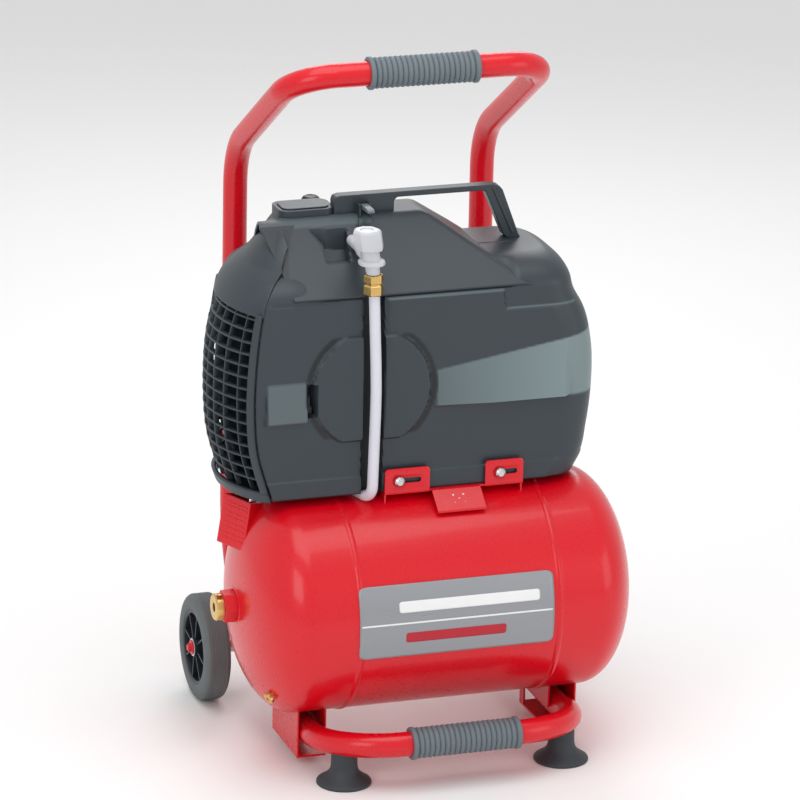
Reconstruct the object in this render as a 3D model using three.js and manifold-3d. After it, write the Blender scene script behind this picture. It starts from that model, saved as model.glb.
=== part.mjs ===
// A portable oil-free vacuum pump. A motor pump under a plastic hood stands on a red steel
// vacuum tank, and a bent-tube frame carries both on two wheels and two rubber feet.
// Millimetres. X runs along the tank, -Y is the front, +Z is up and z = 0 is the floor.
import * as THREE from "three";
import { mergeVertices } from "three/addons/utils/BufferGeometryUtils.js";
import Module from "manifold-3d";

const wasm = await Module();
wasm.setup();

// ---- Driving dimensions ----

const gap = 0.3; // left between pieces that touch
const curvedGap = 0.7; // left where two faceted round faces lie on each other

const tank = {
  radius: 127.5,
  bottomZ: 55.5,
  halfLength: 228.6, // middle of the tank to the tip of an end
  seamX: 117, // middle of the tank to the weld of an end
  domeDepth: 60,
  wall: 3,
};
tank.axisZ = tank.bottomZ + tank.radius;
tank.topZ = tank.bottomZ + 2 * tank.radius;

const tube = { radius: 14, wall: 1.8 };
const frame = {
  legX: 150, // middle of the frame to either leg
  legY: 272,
  railZ: 37.5, // of the level runs under the tank
  bendZ: 638, // where the legs turn forward
  topY: 53,
  topZ: 777.5,
  splitY: 20, // where the rear tube and the front rail meet, inside the brackets
  riseY: -40, // where the front rail starts to slope up
  frontY: -143,
  frontZ: 53.5,
  footBend: 178, // bend radii
  legBend: 80,
  topBend: 52,
  riseBend: 120,
  railBend: 82,
};

const grip = { length: 128, wall: 3.4, flange: 4.6, flangeWidth: 4 };

const wheel = { radius: 62.5, width: 31, midX: 207, rimRadius: 43, boreWall: 7, lip: 5 };
const axle = { radius: 6, capRadius: 8.5, capLength: 6, spacerWall: 3.5 };
axle.z = wheel.radius;
// The axle passes through the middle of the rear tube, low in its bend.
axle.y =
  frame.legY -
  frame.footBend +
  Math.sqrt(frame.footBend ** 2 - (frame.footBend + frame.railZ - axle.z) ** 2);

const foot = { radius: 31.3, stem: 15, x: 129.5, inset: 5, studRadius: 4, studIn: 6, cupDepth: 4 };
// Each foot is under the front rail's corner bend, a little inside the middle of the tube.
foot.y =
  frame.frontY +
  frame.railBend -
  Math.sqrt((frame.railBend - foot.inset) ** 2 - (foot.x - frame.legX + frame.railBend) ** 2);
const railRise = (frame.frontZ - frame.railZ) / (frame.riseY - frame.frontY);
foot.railZ = frame.railZ + railRise * (frame.riseY - foot.y);

const bracket = { frontY: -50, rearY: 46, lowZ: 10, innerLowZ: 40, rearPost: 14, sheet: 2.5, sideGap: 0.6 };

const leftPort = { bossRadius: 19, bossLength: 14, bossDepth: 26, bore: 12, plugDepth: 20 };
leftPort.headRadius = 15.5;
leftPort.headLength = 9.5;
leftPort.socket = 5;
leftPort.socketDepth = 8;
const rightPort = { shank: 8, headRadius: 12.5, headLength: 5.5 };
const drain = { radius: 5, head: 7, headLength: 4, belowAxis: 0.69 * tank.radius, front: 0.47 * tank.radius };

const label = { leftX: -120, rightX: 109, lowAngle: -14, highAngle: 24, sheet: 1.2 };

const sidePlate = { width: 46, height: 56, sheet: 2, depth: 40, yaw: 24, tilt: 11 };
sidePlate.at = [5.6 - tank.halfLength, 20, 0.72 * tank.radius];

const plate = {
  lift: 3, // over the top of the tank
  sheet: 2.5,
  leftX: -66,
  rightX: 98,
  frontY: -40,
  rearY: 100,
  tabHeight: 30,
  leftTab: 53,
  rightTab: 45,
  slotLength: 28,
  slotHeight: 6.5,
  slotUp: 15.5, // middle of the slots over the plate's underside
  badgeLeftX: -11,
  badgeRightX: 47,
  badgeDrop: 18,
  badgeOut: 25,
};
plate.bottomZ = tank.topZ + plate.lift;
plate.topZ = plate.bottomZ + plate.sheet;
const screw = { headRadius: 6.3, headHeight: 3.6, shank: 2.8, length: 10, leftX: -49.5, rightX: 70 };

// The hood's outline at each level, as heights over its bottom edge. ridge is where the front
// face ends and the grille cap starts, and right is the right end.
const hood = {
  wall: 3,
  frontY: -35,
  rearY: 125,
  endRadius: 115, // of the grille cap, seen from above
  cornerRadius: 30,
  levels: [
    { up: 0, ridge: -195, right: 160, inset: 1 },
    { up: 20, ridge: -202, right: 170, inset: 0 },
    { up: 52, ridge: -211, right: 178, inset: 0 },
    { up: 105, ridge: -216, right: 183, inset: 0 },
    { up: 150, ridge: -215, right: 181, inset: 0 },
    { up: 190, ridge: -212, right: 172, inset: 0 },
    { up: 226, ridge: -207, right: 157, inset: 2 },
    { up: 245, ridge: -201, right: 144, inset: 10 },
    { up: 256, ridge: -195, right: 130, inset: 22 },
  ],
  grooveX: -80,
  grooveWidth: 22,
  grooveDepth: 8,
};
hood.bottomZ = plate.topZ + gap;
hood.midY = (hood.frontY + hood.rearY) / 2;
hood.topZ = hood.bottomZ + hood.levels.at(-1).up;
// The raised cover over the left half of the hood, as heights over the hood's top.
const cover = {
  wall: 3,
  levels: [
    { up: 0, ridge: -194, right: 60, front: 24, rear: 22 },
    { up: 16, ridge: -182, right: 34, front: 48, rear: 26 },
    { up: 30, ridge: -166, right: 10, front: 68, rear: 30 },
    { up: 40, ridge: -150, right: -6, front: 84, rear: 38 },
  ],
  windowLeftX: -142,
  windowRightX: -62,
  windowLow: 5,
  windowHigh: 31,
};
cover.topZ = hood.topZ + cover.levels.at(-1).up;

const grille = { rows: 7, columns: 5, rowPitch: 29, columnPitch: 29, barHeight: 4, barWidth: 4, low: 12 };

const lid = { leftX: -164, rightX: -104, frontY: 54, rearY: 96, height: 12, corner: 12, knobGap: 2 };
const knob = { x: -112, y: 104, radius: 11, height: 12, depth: 6 };
const lever = { x: -66, y: 50, width: 9, length: 26, rearLength: 3, thickness: 5, postHeight: 12 };
lever.cheek = 3;

const carry = { y: 66, depth: 16, thickness: 6.5, leftX: -100, blockRightX: -28, rightX: 96, footX: 122 };
carry.height = 24;
carry.topZ = cover.topZ + carry.height;

// The brass nut and the connector stand over each other, by the hood's top edge.
const nut = { radius: 11.5, low: hood.topZ - 20.3, high: hood.topZ + 3.7, overlap: 7 };
const pipe = { radius: 6.25, wall: 1.2, x: hood.grooveX, y: -45, topZ: nut.low + nut.overlap, bend: 16 };
pipe.lowZ = tank.topZ + 1;
const connector = { neck: 8, neckTop: nut.high + 28, capRadius: 17, capHeight: 25, branch: 7 };
connector.flange = { radius: 15, z: nut.high + 12, thickness: 4 };
const inlet = { x: -104, y: 33, radius: 11, height: 28 };
const gland = { x: 60, z: hood.bottomZ + 48.7, radius: 9, length: 20, nut: 12 };

const shaft = { y: hood.midY, z: tank.topZ + 121.5, radius: 8, leftX: -182, rightX: 3 };
const motor = { radius: 62, wall: 3, leftX: -150, rightX: -15, statorBore: 34, rotor: 33 };
motor.coreHalf = 42;
motor.midX = -84; // of the stator and the rotor core
const fan = { radius: 66, hub: 16, blades: 9, blade: 2.4, length: 20, midX: -171 };
const crankcase = { radius: 50, wall: 6, rightX: 56, cover: 5 };
const crank = { radius: 22, thickness: 8, throw: 10, pin: 4, pinLength: 6.4 };
const rod = { length: 62, eye: 11, smallEye: 8, thickness: 8, bore: 5, width: 9 };
const piston = { radius: 24.6, height: 20, crown: 4 };
const cylinder = { wall: 5, over: 2, headHeight: 22, headWidth: 68, clearance: 0.4 };
const base = { z: plate.topZ + 29, sheet: 4, leftX: -66, rightX: 72, frontY: 2, rearY: 88 };
base.cradle = 30; // length of a cradle along the shaft
base.cradleInset = 10; // from the end of the motor, and of the crankcase

const mount = { radius: 10, inset: 8 };
const vacuumSwitch = { leftX: 76, rightX: 96, frontY: 20, rearY: 70, height: 60 };

// ---- Materials ----

const finish = (color, roughness, metalness) => () =>
  new THREE.MeshStandardMaterial({ color, roughness, metalness });
const redPaint = finish(0xd4101c, 0.3, 0.1);
const slatePlastic = finish(0x434b52, 0.55, 0);
const greyRubber = finish(0x6d767c, 0.75, 0);
const blackPlastic = finish(0x1e2126, 0.5, 0);
const darkRubber = finish(0x33383c, 0.8, 0);
const steel = finish(0xb9bdc0, 0.3, 1);
const brass = finish(0xc6a24a, 0.3, 1);
const whitePlastic = finish(0xe4e4e8, 0.45, 0);
const palePipe = finish(0xd3d6e0, 0.4, 0);
const labelGrey = finish(0x8b8d92, 0.4, 0.3);
const castAlloy = finish(0x9a9ea1, 0.5, 0.8);
const copper = finish(0x9c5a33, 0.4, 0.8);

// ---- Solids ----

// A closed geometry as a solid that can be joined and cut.
function solid(geometry) {
  const bare = new THREE.BufferGeometry();
  const loose = geometry.index ? geometry.toNonIndexed() : geometry;
  bare.setAttribute("position", loose.getAttribute("position"));
  const merged = mergeVertices(bare, 1e-3);
  let made = build(merged, false);
  if (made.volume() < 0) made = build(merged, true);
  return made;
}

function build(merged, flip) {
  const triVerts = new Uint32Array(merged.index.array);
  if (flip) triVerts.reverse();
  const vertProperties = merged.attributes.position.array;
  return new wasm.Manifold(new wasm.Mesh({ numProp: 3, vertProperties, triVerts }));
}

function box(low, high) {
  const size = high.map((value, i) => value - low[i]);
  const middle = high.map((value, i) => (value + low[i]) / 2);
  return solid(new THREE.BoxGeometry(...size).translate(...middle));
}

// A flat outline of [across, up] points, drawn out along X, Y or Z between two places.
function prism(outline, axis, from, to) {
  const shape = new THREE.Shape(outline.map(([across, up]) => new THREE.Vector2(across, up)));
  const geometry = new THREE.ExtrudeGeometry(shape, { depth: to - from, bevelEnabled: false });
  geometry.translate(0, 0, from);
  if (axis === "x") geometry.rotateY(Math.PI / 2).rotateX(Math.PI / 2);
  if (axis === "y") geometry.rotateX(Math.PI / 2).scale(1, -1, 1);
  return solid(geometry);
}

// A closed outline of [along, radius] points turned about an axis through a place.
function turned(outline, axis, place, sides) {
  const points = outline.map(([along, radius]) => new THREE.Vector2(radius, along));
  const geometry = new THREE.LatheGeometry(points, sides);
  if (axis === "x") geometry.rotateZ(-Math.PI / 2);
  if (axis === "z") geometry.rotateX(Math.PI / 2);
  return solid(geometry.translate(...place));
}

// A round bar along an axis, from one place to another.
function bar(axis, radius, from, to, place, sides = 16) {
  const outline = [[from, 0], [from, radius], [to, radius], [to, 0]];
  return turned(outline, axis, place, sides);
}

// A ring along an axis, with its first point repeated to close it.
function ring(axis, inner, outer, from, to, place, sides = 24) {
  const outline = [[from, inner], [from, outer], [to, outer], [to, inner], [from, inner]];
  return turned(outline, axis, place, sides);
}

// Level outlines with the same number of points, skinned one to the next and closed at both ends.
function loft(outlines) {
  const count = outlines[0].length;
  const positions = outlines.flat(2);
  const faces = [];
  for (let level = 1; level < outlines.length; level++) {
    for (let i = 0; i < count; i++) {
      const low = (level - 1) * count;
      const next = (i + 1) % count;
      faces.push(low + i, low + next, low + count + next, low + i, low + count + next, low + count + i);
    }
  }
  const top = (outlines.length - 1) * count;
  for (let i = 1; i < count - 1; i++) {
    faces.push(0, i + 1, i, top, top + i, top + i + 1);
  }
  const geometry = new THREE.BufferGeometry();
  geometry.setAttribute("position", new THREE.Float32BufferAttribute(positions, 3));
  geometry.setIndex(faces);
  return solid(geometry);
}

// A centre line of straight runs with round bends at its corners. Its stations stand at the
// ends of the runs and along the bends, so a tube swept on it keeps its true section.
class BentLine extends THREE.Curve {
  constructor(corners, bends, stepAngle = 23) {
    super();
    const places = corners.map((corner) => new THREE.Vector3(...corner));
    const heading = (i) => places[i + 1].clone().sub(places[i]).normalize();
    this.stations = [{ point: places[0], tangent: heading(0) }];
    for (let i = 1; i < places.length - 1; i++) {
      const before = heading(i - 1);
      const after = heading(i);
      const angle = before.angleTo(after);
      const radius = bends[i - 1];
      const start = places[i].clone().addScaledVector(before, -radius * Math.tan(angle / 2));
      const turnAxis = before.clone().cross(after).normalize();
      const outward = before.clone().cross(turnAxis);
      const centre = start.clone().addScaledVector(outward, -radius);
      const steps = Math.ceil(THREE.MathUtils.radToDeg(angle) / stepAngle);
      for (let step = 0; step <= steps; step++) {
        const turn = (angle * step) / steps;
        const point = outward.clone().applyAxisAngle(turnAxis, turn).multiplyScalar(radius).add(centre);
        this.stations.push({ point, tangent: before.clone().applyAxisAngle(turnAxis, turn) });
      }
    }
    this.stations.push({ point: places.at(-1), tangent: heading(places.length - 2) });
  }
  get steps() {
    return this.stations.length - 1;
  }
  at(share) {
    return this.stations[Math.round(share * this.steps)];
  }
  getPoint(share) {
    return this.at(share).point.clone();
  }
  getTangent(share) {
    return this.at(share).tangent.clone();
  }
  getUtoTmapping(share) {
    return share;
  }
}

function circle(radius, sides) {
  const corners = [];
  for (let i = 0; i < sides; i++) {
    const angle = (2 * Math.PI * i) / sides;
    corners.push(new THREE.Vector2(radius * Math.cos(angle), radius * Math.sin(angle)));
  }
  return corners;
}

function bentTube(line, radius, wall = 0, sides = 12) {
  const section = new THREE.Shape(circle(radius, sides));
  if (wall) section.holes.push(new THREE.Path(circle(radius - wall, 6).reverse()));
  return solid(new THREE.ExtrudeGeometry(section, { steps: line.steps, extrudePath: line }));
}

// ---- The assembly ----

const rig = new THREE.Group();

function put(name, made, material) {
  const mesh = made.getMesh();
  const geometry = new THREE.BufferGeometry();
  geometry.setAttribute("position", new THREE.Float32BufferAttribute(mesh.vertProperties, 3));
  geometry.setIndex(new THREE.BufferAttribute(mesh.triVerts, 1));
  geometry.computeVertexNormals();
  const piece = new THREE.Mesh(geometry, material());
  piece.name = name;
  rig.add(piece);
}

const sides = [
  ["left", -1],
  ["right", 1],
];

// ---- Tank: a rolled shell with a deep dished end welded on either side ----

const onTankAxis = [0, 0, tank.axisZ];
const domeStart = tank.halfLength - tank.domeDepth;

// The [along, radius] points of a dished end's curve, from its rim to a hole at its tip.
function domeCurve(depth, radius, hole, steps) {
  const last = Math.acos(hole / radius);
  const points = [];
  for (let i = 0; i <= steps; i++) {
    const angle = (last * i) / steps;
    points.push([domeStart + depth * Math.sin(angle), radius * Math.cos(angle)]);
  }
  return points;
}

function tankEnd(side, hole) {
  const outer = domeCurve(tank.domeDepth, tank.radius, hole, 6);
  const inner = domeCurve(tank.domeDepth - tank.wall, tank.radius - tank.wall, hole, 3).reverse();
  const rim = tank.seamX + gap;
  const rimOuter = [rim, tank.radius];
  const outline = [rimOuter, ...outer, ...inner, [rim, tank.radius - tank.wall], rimOuter];
  const sided = outline.map(([along, radius]) => [side * along, radius]);
  return turned(sided, "x", onTankAxis, 32);
}

put(
  "tank_shell",
  ring("x", tank.radius - tank.wall, tank.radius, -tank.seamX, tank.seamX, onTankAxis, 32),
  redPaint,
);
put("tank_head_right", tankEnd(1, rightPort.shank + gap), redPaint);

// The drain screw stands square to the left end, low down at the front.
const drainOut = Math.sqrt(1 - (drain.belowAxis ** 2 + drain.front ** 2) / tank.radius ** 2);
const drainAt = new THREE.Vector3(-domeStart - tank.domeDepth * drainOut, -drain.front, -drain.belowAxis);
const drainNormal = new THREE.Vector3(
  (drainAt.x + domeStart) / tank.domeDepth ** 2,
  drainAt.y / tank.radius ** 2,
  drainAt.z / tank.radius ** 2,
).normalize();

function drainBar(radius, from, to) {
  const geometry = new THREE.CylinderGeometry(radius, radius, to - from, 12);
  const upright = new THREE.Vector3(0, 1, 0);
  geometry.translate(0, (from + to) / 2, 0);
  geometry.applyQuaternion(new THREE.Quaternion().setFromUnitVectors(upright, drainNormal));
  return solid(geometry.translate(drainAt.x, drainAt.y, tank.axisZ + drainAt.z));
}

put(
  "tank_head_left",
  tankEnd(-1, leftPort.bossRadius + gap).subtract(drainBar(drain.radius + gap, -20, 20)),
  redPaint,
);
put("drain_screw", drainBar(drain.radius, -8, 1).add(drainBar(drain.head, 1, 1 + drain.headLength)), brass);

// The whole tank's outside, a little bigger, for cutting what is welded or bolted to it.
function tankSpace(clearance) {
  const radius = tank.radius + clearance;
  const depth = tank.domeDepth + clearance;
  const right = domeCurve(depth, radius, 0.01, 6).slice(0, -1);
  const left = right.map(([along, r]) => [-along, r]).reverse();
  const outline = [[-domeStart - depth, 0], ...left, ...right, [domeStart + depth, 0]];
  return turned(outline, "x", onTankAxis, 32);
}
const tankClear = tankSpace(curvedGap);

// Ports on the tank's axis: a welded boss with a brass plug on the left, a small plug on the right.
const bossOuter = tank.halfLength + leftPort.bossLength;
const bossRoot = -bossOuter + leftPort.bossDepth;
const leftBoss = ring("x", leftPort.bore + gap, leftPort.bossRadius, -bossOuter, bossRoot, onTankAxis, 20);
put("tank_boss", leftBoss, redPaint);
const plugEnd = -bossOuter - leftPort.headLength;
put(
  "brass_plug",
  bar("x", leftPort.bore, -bossOuter - 1, leftPort.plugDepth - bossOuter, onTankAxis, 20)
    .add(bar("x", leftPort.headRadius, plugEnd, -bossOuter - gap, onTankAxis, 24))
    .subtract(bar("x", leftPort.socket, plugEnd - 1, plugEnd + leftPort.socketDepth, onTankAxis, 6)),
  brass,
);
const rightFace = tank.halfLength + gap;
put(
  "end_plug",
  bar("x", rightPort.shank, rightFace - 14, rightFace + 1, onTankAxis, 16).add(
    bar("x", rightPort.headRadius, rightFace, rightFace + rightPort.headLength, onTankAxis, 6),
  ),
  steel,
);

// The name plate is a thin sheet bent round the tank's front. Angles are up from straight ahead.
function tankArc(radius, from, to, steps) {
  const points = [];
  for (let i = 0; i <= steps; i++) {
    const angle = THREE.MathUtils.degToRad(from + ((to - from) * i) / steps);
    points.push([-radius * Math.cos(angle), tank.axisZ + radius * Math.sin(angle)]);
  }
  return points;
}
const labelInner = tank.radius + curvedGap;
put(
  "tank_label",
  prism(
    [
      ...tankArc(labelInner, label.lowAngle, label.highAngle, 8),
      ...tankArc(labelInner + label.sheet, label.highAngle, label.lowAngle, 8),
    ],
    "x",
    label.leftX,
    label.rightX,
  ),
  labelGrey,
);

// The data plate stands off the left end on a folded edge that is welded to the dome.
function placeSidePlate(geometry) {
  geometry.rotateY(THREE.MathUtils.degToRad(sidePlate.tilt)).rotateZ(THREE.MathUtils.degToRad(sidePlate.yaw));
  const [x, y, z] = sidePlate.at;
  return solid(geometry.translate(x, y, tank.axisZ + z));
}
const sideFace = new THREE.BoxGeometry(sidePlate.sheet, sidePlate.width, sidePlate.height);
const sideEdge = new THREE.BoxGeometry(sidePlate.depth, sidePlate.sheet, sidePlate.height).translate(
  sidePlate.depth / 2,
  sidePlate.width / 2 - sidePlate.sheet / 2,
  0,
);
const sideFoot = sideEdge.clone().translate(0, sidePlate.sheet - sidePlate.width, 0);
put(
  "side_plate",
  placeSidePlate(sideFace).add(placeSidePlate(sideEdge)).add(placeSidePlate(sideFoot)).subtract(tankClear),
  redPaint,
);

// ---- Frame: a rear tube, a front rail, and the brackets that hold the tank on them ----

const rearLine = new BentLine(
  [
    [-frame.legX, frame.splitY + gap, frame.railZ],
    [-frame.legX, frame.legY, frame.railZ],
    [-frame.legX, frame.legY, frame.bendZ],
    [-frame.legX, frame.topY, frame.topZ],
    [frame.legX, frame.topY, frame.topZ],
    [frame.legX, frame.legY, frame.bendZ],
    [frame.legX, frame.legY, frame.railZ],
    [frame.legX, frame.splitY + gap, frame.railZ],
  ],
  [frame.footBend, frame.legBend, frame.topBend, frame.topBend, frame.legBend, frame.footBend],
);
const axlePlace = [0, axle.y, axle.z];
const axleEnd = wheel.midX + wheel.width / 2;
put(
  "handle_tube",
  bentTube(rearLine, tube.radius, tube.wall).subtract(
    bar("x", axle.radius + gap, -axleEnd, axleEnd, axlePlace, 12),
  ),
  redPaint,
);

const frontLine = new BentLine(
  [
    [-frame.legX, frame.splitY - gap, frame.railZ],
    [-frame.legX, frame.riseY, frame.railZ],
    [-frame.legX, frame.frontY, frame.frontZ],
    [frame.legX, frame.frontY, frame.frontZ],
    [frame.legX, frame.riseY, frame.railZ],
    [frame.legX, frame.splitY - gap, frame.railZ],
  ],
  [frame.riseBend, frame.railBend, frame.railBend, frame.riseBend],
);
let frontRail = bentTube(frontLine, tube.radius, tube.wall);
for (const [, side] of sides) {
  const studHole = bar("z", foot.studRadius + gap, 0, foot.railZ, [side * foot.x, foot.y, 0], 12);
  frontRail = frontRail.subtract(studHole);
}
put("front_rail", frontRail, redPaint);

for (const [name, place] of [
  ["handle_grip", [0, frame.topY, frame.topZ]],
  ["front_grip", [0, frame.frontY, frame.frontZ]],
]) {
  const half = grip.length / 2;
  const inner = tube.radius + gap + 0.3;
  const outer = tube.radius + grip.wall;
  const rim = tube.radius + grip.flange;
  const inFlange = half - grip.flangeWidth;
  const outline = [
    [-half, inner],
    [-half, rim],
    [-inFlange, rim],
    [-inFlange, outer],
    [inFlange, outer],
    [inFlange, rim],
    [half, rim],
    [half, inner],
    [-half, inner],
  ];
  put(name, turned(outline, "x", place, 24), greyRubber);
}

// Each bracket is a folded channel under the tank: an outer cheek and a floor, and an inner
// cheek that is cut away below so that the tube can be welded in.
const bracketOut = tube.radius + bracket.sideGap + bracket.sheet;
const outerCheek = [
  [bracket.frontY, bracket.lowZ],
  [bracket.rearY, bracket.lowZ],
  [bracket.rearY, tank.axisZ],
  [bracket.frontY, tank.axisZ],
];
const innerCheek = [
  [bracket.frontY, bracket.innerLowZ],
  [bracket.rearY - bracket.rearPost, bracket.innerLowZ],
  [bracket.rearY - bracket.rearPost, bracket.lowZ],
  [bracket.rearY, bracket.lowZ],
  [bracket.rearY, tank.axisZ],
  [bracket.frontY, tank.axisZ],
];
for (const [name, side] of sides) {
  const outerX = side * (frame.legX + bracketOut);
  const innerX = side * (frame.legX - bracketOut);
  const cheek = (outline, face, inward) =>
    prism(outline, "x", Math.min(face, face + inward), Math.max(face, face + inward));
  const channel = cheek(outerCheek, outerX, -side * bracket.sheet)
    .add(cheek(innerCheek, innerX, side * bracket.sheet))
    .add(
      box(
        [Math.min(outerX, innerX), bracket.frontY, bracket.lowZ],
        [Math.max(outerX, innerX), bracket.rearY, bracket.lowZ + bracket.sheet],
      ),
    );
  put("bracket_" + name, channel.subtract(tankClear), redPaint);
}

// ---- Feet: rubber suction feet on studs that pass up into the front rail ----

const footTop = foot.railZ - tube.radius * 0.6;
const footOutline = [
  [foot.cupDepth, 0],
  [foot.cupDepth * 0.7, foot.radius * 0.6],
  [0, foot.radius - 3],
  [0, foot.radius],
  [2.5, foot.radius],
  [7, foot.radius * 0.78],
  [13, foot.stem + 1.5],
  [footTop - 9, foot.stem],
  [footTop, foot.stem],
  [footTop, 0],
];
// The rail lies in a shallow saddle across the foot's top.
const railSpace = bentTube(frontLine, tube.radius + gap + 0.3);
for (const [name, side] of sides) {
  const whole = turned(footOutline, "z", [side * foot.x, foot.y, 0], 20);
  const studTop = foot.railZ + foot.studIn;
  const stud = bar("z", foot.studRadius, foot.cupDepth + 4, studTop, [side * foot.x, foot.y, 0], 12);
  put("foot_" + name, whole.subtract(railSpace).add(stud), darkRubber);
}

// ---- Wheels: rubber tyres on ribbed hubs, turning on one axle ----

put("axle", bar("x", axle.radius, -axleEnd, axleEnd, axlePlace, 16), steel);
const hubBore = axle.radius + gap;
const halfWidth = wheel.width / 2;
const hubHalf = halfWidth - 2;
for (const [name, side] of sides) {
  const place = [side * wheel.midX, axle.y, axle.z];
  const spacerFrom = frame.legX + tube.radius + gap;
  const spacerTo = wheel.midX - halfWidth - gap;
  put(
    "axle_spacer_" + name,
    ring("x", hubBore, hubBore + axle.spacerWall, side * spacerFrom, side * spacerTo, axlePlace, 16),
    steel,
  );
  const tyreOutline = [
    [-hubHalf, wheel.rimRadius + gap],
    [-halfWidth, wheel.rimRadius + 5],
    [-halfWidth, wheel.radius - 9],
    [-halfWidth + 3, wheel.radius - 3],
    [-halfWidth + 8, wheel.radius],
    [halfWidth - 8, wheel.radius],
    [halfWidth - 3, wheel.radius - 3],
    [halfWidth, wheel.radius - 9],
    [halfWidth, wheel.rimRadius + 5],
    [hubHalf, wheel.rimRadius + gap],
    [-hubHalf, wheel.rimRadius + gap],
  ];
  put("tyre_" + name, turned(tyreOutline, "x", place, 24), greyRubber);
  // The hub is a rim, a web in its middle and a sleeve, with ribs between them on the outside.
  const sleeve = hubBore + wheel.boreWall;
  const rimInner = wheel.rimRadius - wheel.lip;
  let hub = ring("x", rimInner, wheel.rimRadius, -hubHalf, hubHalf, place, 24)
    .add(ring("x", hubBore, sleeve, -halfWidth, halfWidth, place, 14))
    .add(ring("x", hubBore + 1, rimInner + 1, -2, 2, place, 24));
  for (let i = 0; i < 8; i++) {
    const rib = new THREE.BoxGeometry(hubHalf, 2.2, rimInner - sleeve + 2)
      .translate((side * hubHalf) / 2 - side, 0, (rimInner + sleeve) / 2)
      .rotateX((Math.PI * i) / 4);
    hub = hub.add(solid(rib.translate(...place)));
  }
  put("hub_" + name, hub, blackPlastic);
  const capFrom = axleEnd + gap;
  const capOutline = [
    [capFrom, 0],
    [capFrom, axle.capRadius],
    [capFrom + axle.capLength * 0.6, axle.capRadius],
    [capFrom + axle.capLength, axle.capRadius * 0.65],
    [capFrom + axle.capLength, 0],
  ];
  const turnedCap = capOutline.map(([along, radius]) => [side * along, radius]);
  put("hub_cap_" + name, turned(turnedCap, "x", axlePlace, 16), redPaint);
}

// ---- Mount plate: a pressed plate on the tank's top that the pump and the hood are fixed to ----

const tabBottom = plate.bottomZ;
const tabTop = tabBottom + plate.tabHeight;
const tabFront = plate.frontY - plate.sheet;
const leftTab = [plate.leftX, plate.leftX + plate.leftTab];
const rightTab = [plate.rightX - plate.rightTab, plate.rightX];
let mountPlate = box([plate.leftX, tabFront, plate.bottomZ], [plate.rightX, plate.rearY, plate.topZ]);
for (const [from, to] of [leftTab, rightTab]) {
  mountPlate = mountPlate.add(box([from, tabFront, tabBottom], [to, plate.frontY, tabTop]));
}
const slotZ = tabBottom + plate.slotUp;
const slotHalf = plate.slotHeight / 2;
for (const x of [screw.leftX, screw.rightX]) {
  const slot = box(
    [x - slotHalf, tabFront - 1, slotZ - slotHalf],
    [x + plate.slotLength - slotHalf, plate.frontY + 1, slotZ + slotHalf],
  );
  mountPlate = mountPlate.subtract(slot);
}
const webOutline = [
  [plate.frontY, plate.bottomZ + 1],
  [plate.frontY, tank.axisZ],
  [plate.rearY, tank.axisZ],
  [plate.rearY, plate.bottomZ + 1],
];
for (const from of [plate.leftX, plate.rightX - plate.sheet]) {
  mountPlate = mountPlate.add(prism(webOutline, "x", from, from + plate.sheet));
}
// The badge is a lip that slopes down over the tank's front.
const badgeOutline = [
  [plate.frontY, plate.bottomZ],
  [plate.frontY, plate.topZ],
  [tabFront, plate.topZ],
  [tabFront - plate.badgeOut, plate.topZ - plate.badgeDrop],
  [tabFront - plate.badgeOut, plate.topZ - plate.badgeDrop - plate.sheet],
];
mountPlate = mountPlate.add(prism(badgeOutline, "x", plate.badgeLeftX, plate.badgeRightX));
put("mount_plate", mountPlate.subtract(tankClear), redPaint);

const screwHole = (x) => bar("y", screw.shank + gap, plate.frontY - 8, hood.frontY + 20, [x, 0, slotZ], 10);
for (const [name, x] of [
  ["left", screw.leftX],
  ["right", screw.rightX],
]) {
  const back = tabFront - gap;
  const outline = [
    [back - screw.headHeight, 0],
    [back - screw.headHeight, screw.headRadius * 0.6],
    [back - screw.headHeight * 0.5, screw.headRadius],
    [back, screw.headRadius],
    [back, screw.shank],
    [back + screw.length, screw.shank],
    [back + screw.length, 0],
  ];
  put("tab_screw_" + name, turned(outline, "y", [x, 0, slotZ], 16), steel);
}

// ---- Hood: a moulded shell, its grille cap, and the raised cover on its top ----

// One level's outline, seen from above: straight front and rear, two round right corners, and
// an arc round the left end. shrink moves every side inwards.
function levelOutline(z, ridge, right, frontY, rearY, shrink) {
  const front = frontY + shrink;
  const rear = rearY - shrink;
  const end = right - shrink;
  const corner = Math.min(hood.cornerRadius, (rear - front) / 2 - 1) - shrink * 0.5;
  const half = (rear - front) / 2;
  const middle = (rear + front) / 2;
  const arc = hood.endRadius - shrink;
  const left = ridge + shrink;
  const points = [];
  const quarter = 4;
  for (let i = 0; i <= quarter; i++) {
    const angle = (-Math.PI / 2) * (1 - i / quarter);
    points.push([end - corner + corner * Math.cos(angle), front + corner + corner * Math.sin(angle), z]);
  }
  for (let i = 0; i <= quarter; i++) {
    const angle = (Math.PI / 2) * (i / quarter);
    points.push([end - corner + corner * Math.cos(angle), rear - corner + corner * Math.sin(angle), z]);
  }
  const spread = Math.asin(half / arc);
  const centre = left + arc * Math.cos(spread);
  const steps = 6;
  for (let i = 0; i <= steps; i++) {
    const angle = spread * (1 - (2 * i) / steps);
    points.push([centre - arc * Math.cos(angle), middle + arc * Math.sin(angle), z]);
  }
  return points;
}

function hoodBody(shrink) {
  const lastLevel = hood.levels.length - 1;
  return loft(
    hood.levels.map((level, i) => {
      const z = hood.bottomZ + level.up - (i === 0 || i === lastLevel ? shrink : 0);
      const front = hood.frontY + level.inset;
      const rear = hood.rearY - level.inset;
      return levelOutline(z, level.ridge, level.right, front, rear, shrink);
    }),
  );
}

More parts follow.
